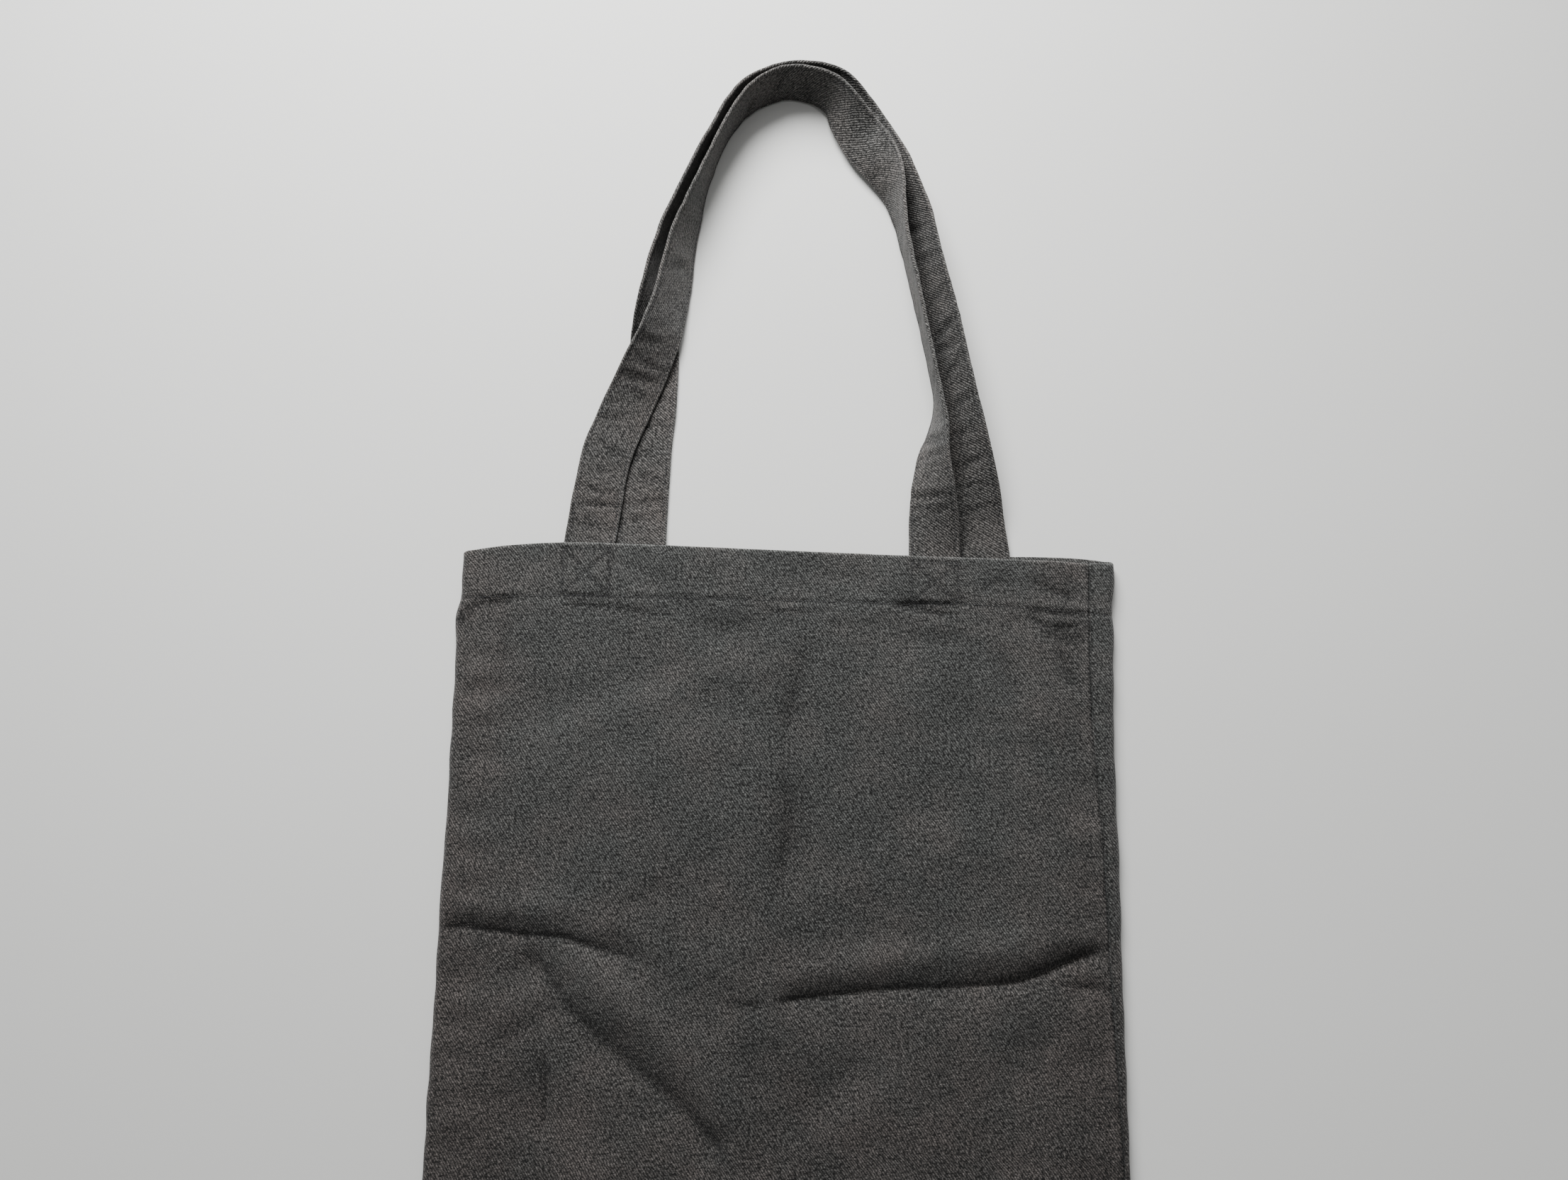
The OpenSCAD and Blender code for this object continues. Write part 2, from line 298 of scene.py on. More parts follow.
def cloth_shell(name, middle, uv, material, thickness, fields):
    """Closed sheet around a grid of middle points: the grid moved out by half the thickness on each side
    along its normals, and a rim that joins the two all round."""
    rows, columns = middle.shape[:2]
    normal = grid_normals(middle)
    points = np.concatenate([(middle + normal * thickness / 2).reshape(-1, 3),
                             (middle - normal * thickness / 2).reshape(-1, 3)])
    count = rows * columns
    index = np.arange(count).reshape(rows, columns)
    rim = np.concatenate([index[0, :], index[1:, -1], index[-1, -2::-1], index[-2:0:-1, 0]])
    after = np.roll(rim, -1)
    outer = grid_faces(rows, columns)
    inner = outer[:, ::-1] + count
    sides = np.stack([rim, rim + count, after + count, after], -1)
    quads = np.concatenate([outer, inner, sides])
    both = {key: np.tile(values.ravel(), 2) for key, values in fields.items()}
    return make_piece(name, points, quads, np.tile(uv.reshape(-1, 2), (2, 1)), quads, material, both)


def tube(name, rings, run, round_run, material, fields):
    """Closed solid from rings of points. run is how far along the solid each ring lies, and round_run
    how far round the ring each point lies, with one more value where the ring closes. Each end is a fan
    of squares to its middle line."""
    count, sides = rings.shape[:2]
    quads = grid_faces(count, sides, closed=True)
    uv = np.stack(np.broadcast_arrays(run[:, None], round_run[None, :]), -1).reshape(-1, 2)
    i, j = np.divmod(np.arange(len(quads)), sides)
    at = i * (sides + 1) + j
    uv_quads = np.stack([at, at + 1, at + sides + 2, at + sides + 1], -1)
    k = np.arange(sides // 2 - 1)
    cap = np.stack([k, k + 1, sides - 2 - k, sides - 1 - k], -1)
    last = (count - 1) * sides
    last_uv = (count - 1) * (sides + 1)
    quads = np.concatenate([quads, cap[:, ::-1], cap + last])
    uv_quads = np.concatenate([uv_quads, cap[:, ::-1], cap + last_uv])
    flat = {key: values.ravel() for key, values in fields.items()}
    return make_piece(name, rings.reshape(-1, 3), quads, uv, uv_quads, material, flat)


def stitch_shape():
    """One lockstitch's thread, 1 long and of radius 1: six-sided rings that rise in an arc and dive at
    both ends."""
    t = np.linspace(-0.5, 0.5, 5)[:, None]
    turn = (np.arange(6) * math.pi / 3)[None, :]
    plump = np.sqrt(np.clip(1 - (1.7 * t) ** 4, 0.12, 1))
    ring = np.stack(np.broadcast_arrays(t, plump * np.cos(turn), plump * np.sin(turn)), -1)
    dive = np.zeros_like(ring)
    dive[..., 2] = -2.4 * (2 * t) ** 4
    return (ring + dive).reshape(-1, 3)


def stitches(name, places, along, up, length=STITCH_PITCH * 0.86):
    """Row of thread stitches: one small arc of thread at each place, that lies along one direction and
    rises along another."""
    shape = stitch_shape()
    along = along / np.linalg.norm(along, axis=1, keepdims=True)
    side = np.cross(up, along)
    side /= np.linalg.norm(side, axis=1, keepdims=True)
    high = np.cross(along, side)
    sized = shape * np.array([length, THREAD_R, THREAD_R])
    points = (places[:, None, :] + sized @ np.stack([along, side, high], axis=1)).reshape(-1, 3)
    one = grid_faces(5, 6, closed=True)
    ends = np.array([[0, 1, 4, 5], [1, 2, 3, 4]])
    one = np.concatenate([one, ends[:, ::-1], ends + 24])
    quads = (one[None] + (np.arange(len(places)) * len(shape))[:, None, None]).reshape(-1, 4)
    round_run = np.arctan2(shape[:, 2], shape[:, 1]) * THREAD_R
    uv = np.tile(np.stack([shape[:, 0] * length, round_run], -1), (len(places), 1))
    return make_piece(name, points, quads, uv, quads, THREAD, {})


def join_rows(rows):
    """Several rows of stitches as one: their places, directions and ups end to end."""
    return (np.concatenate(part) for part in zip(*rows))


def stitched_line(points, pitch=STITCH_PITCH):
    """Middles and directions of the stitches along a line of points, a pitch apart."""
    steps = np.linalg.norm(np.diff(points, axis=0), axis=1)
    run = np.concatenate([[0.0], np.cumsum(steps)])
    count = max(1, int(run[-1] / pitch))
    at = (np.arange(count) + 0.5) * run[-1] / count
    middle, ahead, behind = (np.stack([np.interp(place, run, part) for part in points.T], -1)
                             for place in (at, at + HALF_STEP, at - HALF_STEP))
    return middle, ahead - behind


# --------------------------------------------------------------------------------------------------
# Shader arithmetic
# --------------------------------------------------------------------------------------------------
class Value:
    """A shader socket that takes part in ordinary arithmetic: each sign adds a Math node."""

    def __init__(self, shader, socket):
        self.shader = shader
        self.socket = socket

    def math(self, operation, *others):
        return self.shader.node("Math", {"operation": operation}, dict(enumerate((self, *others))))

    def __add__(self, other):
        return self.math("ADD", other)

    def __sub__(self, other):
        return self.math("SUBTRACT", other)

    def __rsub__(self, other):
        return self.shader.node("Math", {"operation": "SUBTRACT"}, {0: other, 1: self})

    def __mul__(self, other):
        return self.math("MULTIPLY", other)

    __radd__ = __add__
    __rmul__ = __mul__

    def floor(self):
        return self.math("FLOOR")

    def wave(self):
        """0 to 1 and back as the value grows by 1."""
        return (self * (2 * math.pi)).math("SINE") * 0.5 + 0.5

    def clamped(self):
        return self.shader.node("Clamp", {}, {0: self})


class Shader:
    """A material's node tree and its Principled shader."""

    def __init__(self, name):
        self.material = bpy.data.materials.new(name)
        self.material.use_nodes = True
        self.tree = self.material.node_tree
        self.principled = self.tree.nodes["Principled BSDF"]

    def feed(self, socket, value):
        if isinstance(value, Value):
            self.tree.links.new(value.socket, socket)
        else:
            socket.default_value = value

    def node(self, kind, settings, sockets, output=0):
        made = self.tree.nodes.new("ShaderNode" + kind)
        for setting, value in settings.items():
            setattr(made, setting, value)
        for socket, value in sockets.items():
            self.feed(made.inputs[socket], value)
        return Value(self, made.outputs[output])

    def mix(self, share, first, second, blend="MIX"):
        settings = {"data_type": "RGBA", "blend_type": blend}
        return self.node("Mix", settings, {0: share, 6: first, 7: second}, output=2)

    def scaled(self, colour, amount):
        return self.node("VectorMath", {"operation": "SCALE"}, {0: colour, "Scale": amount})

    def noise(self, vector, scale, detail=2.0, roughness=0.5):
        """Noise from 0 to 1 around 0.5, with a scale in bumps per metre."""
        sockets = {"Vector": vector, "Scale": scale, "Detail": detail, "Roughness": roughness}
        return self.node("TexNoise", {}, sockets)

    def stretched(self, vector, stretch, turn=0.0):
        """The vector with its axes turned about Z, then scaled."""
        turned = self.node("Mapping", {}, {"Vector": vector, "Rotation": (0.0, 0.0, turn)})
        return self.node("Mapping", {}, {"Vector": turned, "Scale": stretch})

    def set(self, **values):
        for name, value in values.items():
            self.feed(self.principled.inputs[name.replace("_", " ")], value)

    def bump(self, height, strength, distance):
        normal = self.node("Bump", {}, {"Strength": strength, "Distance": distance, "Height": height})
        self.feed(self.principled.inputs["Normal"], normal)


RIB_PITCH = 0.00131
YARN_PITCH = RIB_PITCH * 1.25


def canvas(name, rib_turn, valley, rib, cool, warm, warm_edges):
    """Washed cotton twill. Ribs follow sin(2 pi (u cos a + v sin a) / pitch) on the cloth's own map,
    bent a little by noise; yarns cross them; lint and grain break them up. Broad noise clouds the dye
    and tints it from cool to warm, warmer low down and at the sides; flecks, streaks and a fine crackle
    roughen its tone; a field on the mesh lightens or darkens it, which holds wear and also painted shade
    in creases, seams and grooves and painted highlights along some edges."""
    shader = Shader(name)
    cloth = shader.node("UVMap", {"uv_map": "cloth"}, {})
    axes = shader.node("SeparateXYZ", {}, {0: cloth})
    u, v = axes, Value(shader, axes.socket.node.outputs[1])
    # Field on each cloth mesh: wear, with painted shade in creases, seams and grooves and painted highlights
    wear_and_painted_shade = shader.node("Attribute", {"attribute_name": "wear_and_painted_shade"}, {}, output=2)
    c, s = math.cos(rib_turn), math.sin(rib_turn)
    bend = (shader.noise(cloth, 45.0, 1.0) - 0.5) * 1.6 + (shader.noise(cloth, 330.0, 2.0) - 0.5) * 0.9
    across = (u * c + v * s) * (1 / RIB_PITCH) + bend
    along = (v * c - u * s) * (1 / YARN_PITCH) + across.floor() * 0.41
    ribs = across.wave()
    yarns = along.wave()
    lint = shader.noise(shader.stretched(cloth, (1.0, 2.6, 1.0), rib_turn), 900.0, 2.0, 0.6)
    fine = shader.noise(cloth, 2600.0, 1.0)
    relief = ribs * (yarns * 0.25 + 0.75) + lint * 0.55 + fine * 0.3
    clouds = shader.noise(cloth, 25.0, 3.0, 0.5)
    patches = shader.noise(cloth, 130.0, 2.0, 0.6)
    streaks = shader.noise(shader.stretched(cloth, (1.0, 0.12, 1.0)), 420.0, 2.0)
    grain = shader.noise(cloth, 1500.0, 2.0, 0.7)
    share = (ribs * 0.42 + lint * 1.3 + grain * 1.9 - 1.4 + ribs * yarns * 0.22).clamped()
    weave = shader.mix(share, valley, rib)
    low_down = ((v * -1.0 + 0.08) * 3.4).clamped()
    edges = ((u.math("ABSOLUTE") - 0.13) * 16.0).clamped()
    warmth = (clouds - 0.5) * 2.0 + (patches - 0.5) * 0.6 + 0.12 + low_down * 0.85 + edges * warm_edges
    tint = shader.mix(warmth.clamped(), cool, warm)
    dyed = shader.mix(1.0, weave, tint, "MULTIPLY")
    flecks = shader.noise(cloth, 620.0, 3.0, 0.65)
    slubs = shader.noise(shader.stretched(cloth, (1.0, 0.6, 1.0), rib_turn), 340.0, 1.0)
    cracks = shader.noise(shader.stretched(cloth, (0.55, 1.3, 1.0), rib_turn + 1.9), 210.0, 3.0, 0.62)
    crackle = ((cracks * 2.0 - 1.0).math("ABSOLUTE") * -1.0 + 0.28) * 3.2
    shade = ((clouds - 0.5) * 0.7 + (patches - 0.5) * 0.5 + (slubs - 0.5) * 0.3 + (streaks - 0.5) * 0.3
             + (flecks - 0.5) * 6.0 - crackle.clamped() * 0.20 - low_down * 0.10 + 1.06 + wear_and_painted_shade)
    shade = shade.math("MAXIMUM", 0.12)
    shader.set(Base_Color=shader.scaled(dyed, shade), Roughness=0.95 - ribs * 0.1, Sheen_Weight=0.12,
               Sheen_Roughness=0.5)
    shader.principled.inputs["Specular IOR Level"].default_value = 0.25
    shader.bump(relief, 0.85, 0.00035)
    return shader.material


def sewing_thread():
    """Dark spun thread: slanting plies follow sin(2 pi (u + v) / pitch) on the stitch's own map."""
    shader = Shader("sewing_thread")
    cloth = shader.node("UVMap", {"uv_map": "cloth"}, {})
    axes = shader.node("SeparateXYZ", {}, {0: cloth})
    v = Value(shader, axes.socket.node.outputs[1])
    plies = ((axes + v * 1.6) * (1 / 0.00042)).wave()
    fuzz = shader.noise(cloth, 5200.0, 2.0)
    share = (plies * 0.6 + fuzz * 0.4).clamped()
    shader.set(Base_Color=shader.mix(share, (0.008, 0.008, 0.009, 1), (0.036, 0.036, 0.039, 1)),
               Roughness=0.62 + fuzz * 0.2, Sheen_Weight=0.1)
    shader.bump(plies + fuzz * 0.5, 0.6, 0.00012)
    return shader.material


def floor_finish():
    """Plain pale matt sheet with the faintest cloud in its tone."""
    shader = Shader("pale_floor")
    place = shader.node("TexCoord", {}, {}, output=3)
    cloud = shader.noise(place, 3.0, 2.0)
    shader.set(Base_Color=shader.mix(cloud, (0.70, 0.70, 0.68, 1), (0.74, 0.745, 0.73, 1)), Roughness=0.9)
    shader.principled.inputs["Specular IOR Level"].default_value = 0.2
    return shader.material


BODY_CLOTH = canvas(
    "body_cloth", math.radians(34), valley=(0.0055, 0.0055, 0.0055, 1), rib=(0.092, 0.0925, 0.092, 1),
    cool=(0.985, 1.005, 0.97, 1), warm=(1.11, 0.985, 0.93, 1), warm_edges=0.6)
STRAP_CLOTH = canvas(
    "strap_cloth", math.radians(-40), valley=(0.0078, 0.0076, 0.0074, 1), rib=(0.114, 0.111, 0.108, 1),
    cool=(0.985, 1.0, 0.985, 1), warm=(1.08, 0.985, 0.94, 1), warm_edges=0.0)
THREAD = sewing_thread()


FLOOR_HALF = 12.0        # half its side, in metres
FLOOR_DROP = 0.0004      # how far it lies below the ground level, clear of the lowest threads


def make_floor():
    """Plain square floor."""
    corners = [(x * FLOOR_HALF, y * FLOOR_HALF, 0) for x, y in ((-1, -1), (1, -1), (1, 1), (-1, 1))]
    mesh = bpy.data.meshes.new("floor")
    mesh.from_pydata(corners, [], [(0, 1, 2, 3)])
    mesh.materials.append(floor_finish())
    floor = bpy.data.objects.new("floor", mesh)
    floor.location.z = -FLOOR_DROP
    bpy.context.scene.collection.objects.link(floor)


make_floor()

# --------------------------------------------------------------------------------------------------
# Edges of the bag: each is a curve through round places
# --------------------------------------------------------------------------------------------------
LEFT_EDGE = [
    (-210, -190.3), (-135, -189.3), (-60, -189.1), (0, -189.5), (60, -189.4), (111, -189.7), (150, -190.6),
    (170, -191.2), (180, -189.6), (195, -189.3), (210, -189.8),
]
RIGHT_EDGE = [
    (-210, 190.6), (-125, 190.5), (-6, 189.3), (66, 188.6), (123, 188.0), (168, 189.0), (182, 188.6),
    (200, 190.0), (210, 190.2),
]
RIGHT_SEAM = [
    (-210, 188.0), (-125, 187.0), (-6, 182.1), (61, 179.3), (122, 175.2), (165, 174.8), (210, 175.2),
]
LEFT_SEAM = [(-210, -188.0), (-130, -186.5), (-10, -183), (60, -180), (120, -176.5), (210, -175.0)]
FRONT_MOUTH = [
    (-190, 208.6), (-170, 212.0), (-145, 214.6), (-120, 215.5), (-87, 215.0), (-45, 214.0), (0, 212.8),
    (40, 211.8), (80, 210.9), (120, 210.3), (150, 209.5), (176, 208.2),
]
BACK_MOUTH = [
    (-190, 207.6), (-145, 213.0), (-120, 213.8), (-45, 212.2), (40, 210.4), (95, 210.4), (115, 211.6),
    (130, 212.8), (154, 213.0), (174, 212.3), (186, 211.0),
]
HEM_LINE = [
    (-190, 182.6), (-127, 184.6), (-44, 184.4), (20, 184.0), (68, 183.6), (97, 184.0), (135, 182.6),
    (176, 180.0),
]
FRONT_SPAN = (-190, 176)  # where the front's curves along X begin and end
BACK_SPAN = (-190, 186)
STRIP_MOUTH_Y = 208.6    # mouth of the strip of back cloth that shows beside the right seam
FOLD_R = 4.0             # of a side fold, where there is room
CURL_R = 1.6             # of the cloth's curl into a side seam, where there is room
BOX_HALF = 13.6          # half the side of a box of stitching


def front_lift(x, row):
    """How far the front's row at `row` is moved along Y, so that the hem stitching and the mouth lie on
    their curves."""
    hem = through(HEM_LINE, x) - HEM_STITCH_Y
    mouth = through(FRONT_MOUTH, x) - MOUTH_Y
    rise = np.clip((row - HEM_STITCH_Y) / (MOUTH_Y - HEM_STITCH_Y), 0.0, 1.0)
    return hem * smoothstep(105, HEM_STITCH_Y, row) * (1 - rise) + mouth * rise


def box_stitch_corners(x):
    """Left, right, bottom and top of the square of stitching over the strap end at x."""
    return x - BOX_HALF, x + BOX_HALF, float(through(HEM_LINE, x)) + 0.6, float(through(FRONT_MOUTH, x)) - 2.8


def box_stitch_lines(x):
    """The square and its two diagonals, as pairs of corners."""
    left, right, bottom, top = box_stitch_corners(x)
    a, b, c, d = (left, bottom), (right, bottom), (right, top), (left, top)
    return [(a, b), (b, c), (c, d), (d, a), (a, c), (b, d)]


# How deep each line of a box is pulled in: bottom, right, top, left, rising and falling diagonal
BOX_PULL = (0.8, 0.9, 0.5, 0.65, 0.85, 0.9)


def box_stitch_dent(x, y, middle):
    """Depth, from 0 to 1, that the box of stitching at `middle` pulls into the cloth: a groove along
    each line."""
    dent = np.zeros(np.shape(x))
    for (start, end), pull in zip(box_stitch_lines(middle), BOX_PULL):
        length = math.dist(start, end)
        sx = (end[0] - start[0]) / length
        sy = (end[1] - start[1]) / length
        reach = np.clip((x - start[0]) * sx + (y - start[1]) * sy, 0, length)
        distance = np.hypot(x - start[0] - reach * sx, y - start[1] - reach * sy)
        dent = np.maximum(dent, pull * groove(distance, 1.3))
    return dent


# --------------------------------------------------------------------------------------------------
# The front's relief
# --------------------------------------------------------------------------------------------------
# Creases: course, width of the wall on its left and on its right, share of its length over which each end
# fades, depth, strength of its painted shade, and the width of that shade on its left and on its right
FRONT_CREASES = [
    # across the right half, where the bag was folded in two: a crisp fold under a broad soft one
    ([(187, -5), (174, -8.5), (161, -13.5), (150, -19), (138, -24), (129, -26), (110, -28), (79, -30),
     (55, -31.5), (28, -35), (-4, -39)], (8.0, 9.0), (0.06, 0.08), 3.4, 0.26, (1.5, 8.0)),
    ([(176, -8), (161, -13.5), (150, -19), (138, -24), (129, -26), (110, -28), (79, -30), (55, -31.5),
     (28, -35), (-6, -39)], (1.2, 1.8), (0.10, 0.08), 1.3, 0.66, (0.7, 1.7)),
    ([(181, -6.5), (168, -11), (158, -15), (149, -19.5), (138, -24), (126, -26.5), (100, -28.5)],
     (2.0, 4.2), (0.2, 0.5), 2.2, 0.66, (0.9, 3.8)),
    # its short tail past the middle
    ([(-6, -39), (-16, -40), (-33, -38)], (4.0, 2.6), (0.1, 0.5), 1.2, 0.46, (0.8, 1.3)),
    # a thin fold below its right end
    ([(188, -28), (162, -26.5), (138, -26)], (2.6, 1.6), (0.05, 0.5), 1.2, 0.40, (0.9, 1.2)),
    # the same fold on the left
    ([(-66, -24), (-77, -17.5), (-93, -14.5), (-108, -10), (-121, -6.8), (-144, -6), (-152, -4.8),
     (-168, -3.5), (-190, -2)], (7.0, 8.0), (0.25, 0.04), 2.7, 0.26, (1.4, 6.5)),
    ([(-76, -18), (-93, -14.5), (-108, -10), (-121, -6.8), (-144, -6), (-152, -4.8), (-168, -3.5),
     (-190, -2)], (1.2, 1.6), (0.35, 0.04), 1.1, 0.55, (0.7, 1.5)),
    # long slanting one in the lower left
    ([(-144, -12), (-128, -28), (-117, -43), (-102, -57), (-82, -73), (-66, -84), (-49, -97), (-36, -110),
     (-25, -120)], (6.0, 14.0), (0.10, 0.06), 4.8, 0.62, (4.2, 1.6)),
    ([(-95, -63), (-82, -73), (-66, -84), (-49, -97), (-36, -110), (-26, -119)], (2.2, 2.6), (0.4, 0.1),
     0.9, 0.40, (2.0, 1.4)),
    # faint ones beside it
    ([(-154, -68), (-148, -59), (-134, -51), (-117, -41)], (3.5, 4.5), (0.3, 0.3), 2.0, 0.44, (3.0, 3.0)),
    ([(-128, -64), (-124, -88), (-125, -114)], (2.0, 5.0), (0.25, 0.3), 1.9, 0.50, (1.4, 2.4)),
    ([(-149, 27), (-146, 12), (-147, -2)], (2.5, 4.0), (0.5, 0.2), 0.9, 0.18, (2.0, 2.0)),
    # upright one near the left side
    ([(-158, 177), (-161, 150), (-163, 116)], (2.5, 3.5), (0.3, 0.4), 1.3, 0.20, (2.0, 3.0)),
    # upright one down the middle
    ([(19, 168), (9, 142), (3, 112), (0, 88)], (4.5, 6.0), (0.3, 0.4), 1.9, 0.28, (4.0, 6.0)),
    ([(1, 92), (5, 62), (2, 36), (-4, 8)], (5.0, 6.0), (0.35, 0.3), 2.4, 0.36, (4.5, 5.5)),
    ([(17, 160), (8, 138), (3, 108), (3, 80), (5, 58), (1, 32), (-4, 4)], (5.0, 6.0), (0.2, 0.2), 0.5, 0.14,
     (5.0, 6.0)),
    # soft slanting ones left of the middle
    ([(-20, 46), (-42, 38), (-64, 28), (-84, 10)], (6.0, 7.0), (0.35, 0.35), 1.8, 0.32, (6.0, 7.0)),
    ([(-102, -2), (-86, -6), (-70, -14)], (6.0, 6.0), (0.4, 0.4), 1.2, 0.22, (6.0, 6.0)),
    # one down beside the right seam
    ([(162, 206), (162, 170), (160, 133)], (2.2, 2.2), (0.1, 0.5), 0.9, 0.12, (2.0, 2.0)),
    ([(122, 164), (126, 150), (130, 138), (138, 122)], (3.0, 4.0), (0.35, 0.4), 2.0, 0.32, (2.6, 3.4)),
    ([(156, 164), (160, 152), (163, 142), (170, 134)], (2.2, 3.0), (0.3, 0.3), 1.8, 0.34, (1.8, 2.6)),
    # tucks under the hem
    ([(-193, 168), (-187, 171.5), (-184, 175.5), (-178, 178.6), (-168, 180.4), (-150, 181.6)], (1.8, 3.2),
     (0.05, 0.35), 1.9, 0.52, (1.2, 2.6)),
    ([(-136, 180.5), (-114, 179), (-97, 178), (-82, 175), (-66, 172)], (3.0, 4.0), (0.25, 0.45), 1.4, 0.34,
     (2.6, 3.2)),
    ([(-66, 175), (-44, 169), (-24, 167.5), (-4, 170)], (4.5, 6.0), (0.4, 0.4), 1.2, 0.16, (4.0, 5.0)),
    ([(-28, 180), (-3, 177.4), (14, 178), (44, 180)], (1.6, 3.4), (0.35, 0.45), 1.0, 0.24, (1.4, 2.8)),
    ([(61, 184), (70, 182), (80, 180), (89, 178.2), (103, 177.8)], (2.0, 2.6), (0.15, 0.35), 1.7, 0.46,
     (1.6, 2.2)),
    ([(56, 167), (70, 164.4), (84, 164.4), (97, 164.6), (114, 163)], (3.2, 3.6), (0.35, 0.4), 2.2, 0.36,
     (2.6, 3.0)),
    ([(134, 181), (142, 176.6), (149, 173), (160, 171.8), (173, 174)], (1.5, 2.2), (0.35, 0.2), 1.6, 0.50,
     (1.2, 2.0)),
    ([(136, 181.2), (150, 180), (172, 178.6)], (1.2, 1.6), (0.2, 0.05), 0.9, 0.50, (0.8, 1.0)),
    ([(64, 184.6), (86, 183.8), (104, 183.4)], (1.0, 1.4), (0.2, 0.3), 0.6, 0.34, (0.8, 1.0)),
    ([(146, 170), (152, 167.4), (160, 166), (173, 165.6)], (1.8, 2.2), (0.2, 0.1), 1.8, 0.60, (1.5, 1.9)),
    # wrinkles on the hem near its right end
    ([(138, 201), (147, 197), (155, 192), (171, 190.8)], (2.0, 2.8), (0.3, 0.2), 1.2, 0.42, (1.8, 2.4)),
    ([(113, 189), (115, 193), (120, 196.4), (134, 198)], (2.0, 2.4), (0.2, 0.4), 0.7, 0.20, (1.6, 2.0)),
    ([(-108, 206), (-86, 202), (-66, 195)], (2.6, 3.4), (0.4, 0.4), 0.6, 0.12, (2.4, 3.0)),
    ([(14, 202), (34, 198.5), (52, 200)], (2.6, 3.4), (0.4, 0.4), 0.6, 0.10, (2.4, 3.0)),
]
# Swells: middle, reach along and across, turn, height
FRONT_SWELLS = [
    ((96, -11), (74, 9), 7, 2.6), ((-150, 9), (40, 8), 0, 1.8), ((-92, -2), (30, 8), -22, 1.8),
    ((-78, -44), (60, 12), -42, 3.2), ((-52, 32), (30, 8), 22, 1.3), ((-58, 20), (34, 9), 22, -0.9),
    ((-84, 121), (58, 9), 21, 1.1), ((-92, 136), (36, 8), 18, -0.8), ((-36, 162), (16, 6), -38, -0.9),
    ((75, 72), (26, 20), 60, -1.1), ((86, 138), (46, 15), 0, 1.1), ((130, 40), (40, 34), 10, 0.8),
    ((28, -84), (32, 10), 41, -1.6), ((54, -88), (50, 12), 40, 1.5), ((-14, -72), (8, 24), 8, -1.2),
    ((136, -62), (26, 10), 50, -1.2), ((96, -120), (26, 16), 20, -1.0), ((14, -24), (14, 8), 30, 1.0),
    ((-20, -8), (26, 9), 28, 0.8), ((-150, 60), (22, 40), 0, 0.6), ((-60, 80), (46, 34), 20, 0.7),
    ((-140, -120), (26, 22), 30, -0.9), ((-92, -128), (30, 12), 50, 0.9), ((110, -160), (50, 20), -10, 0.9),
    ((0, -165), (60, 16), 8, -0.8), ((-80, -180), (50, 14), -6, 0.8), ((160, 8), (14, 10), 0, 0.9),
]


def edge_wrinkles(x, y):
    """Short level wrinkles that run in from both side folds: waves along Y whose strength falls off from
    the fold."""
    left = groove(x + 176, 15) * ripple(11, 0 * x, y, 16, 42, 7)
    right = groove(x - 170, 11) * ripple(12, 0 * x, y, 13, 34, 7)
    return 0.6 * (left + right) * smoothstep(176, 150, y)


def front_relief(x, y):
    """Height of the front's cloth over its flat level, and how much paler or darker its colour is made: a
    faint random tone, painted shade along the creases, and paler swells and darker hollows, which are
    partly wear and partly painted shade.
    """
    inside = smoothstep(188, 176, np.abs(x))
    rise = np.zeros(np.shape(x))
    wear_and_painted_shade = 0.04 * ripple(23, x, y, 40, 110, 12)
    for course, wall, fade, depth, dark, shade in FRONT_CREASES:
        d, along = line_distance(x, y, course)
        rise -= depth * crease(d, along, wall, fade)
        # painted shade along the crease
        wear_and_painted_shade -= dark * crease(d, along, shade, fade)
    for middle, reach, turn, height in FRONT_SWELLS:
        mound = swell(x, y, middle, reach, turn)
        rise += height * mound
        # paler on the swells and darker in the hollows: wear on the rises, painted shade in the dips
        wear_and_painted_shade += 0.05 * height * mound
    body = smoothstep(180, 168, y)
    rise += 0.32 * ripple(21, x, y, 34, 90) * body
    rise += 0.13 * ripple(22, x, y, 8, 22, 24) * (0.5 + 0.5 * body)
    rise += edge_wrinkles(x, y)
    return rise * inside, wear_and_painted_shade


def hem_relief(x, y):
    """Height that the hem adds: a step at its stitching, puckers beside it, and dents along the boxes of
    stitching."""
    line = y - through(HEM_LINE, x)
    pucker = 0.5 + 0.5 * ripple(31, x, 0.35 * y, 5, 13, 12)
    step = 0.28 * smoothstep(-1.4, 2.6, line)
    beside = 0.36 * pucker * (groove(line - 3.0, 2.2) + groove(line + 3.4, 2.6))
    seat = beside - 0.34 * groove(line, 0.8) * (0.5 + 0.5 * pucker)
    puff = 0.35 * groove(line + 7, 5) * (1 + 0.6 * ripple(32, x, 0 * y, 18, 60, 8))
    wavy = 0.22 * ripple(33, x, 0.5 * y, 14, 46, 10) * smoothstep(2, 8, line)
    dent = sum(box_stitch_dent(x, y, middle) for middle in FRONT_END_X)
    crossed = sum(swell(x, y, (middle, 198), (16, 14)) for middle in FRONT_END_X)
    return step + seat + puff + wavy - 0.5 * dent + 0.25 * crossed


def top_level(x, y):
    """Height of the middle of the front's cloth."""
    return BAG_H - CLOTH_T / 2 + front_relief(x, y)[0] + hem_relief(x, y)


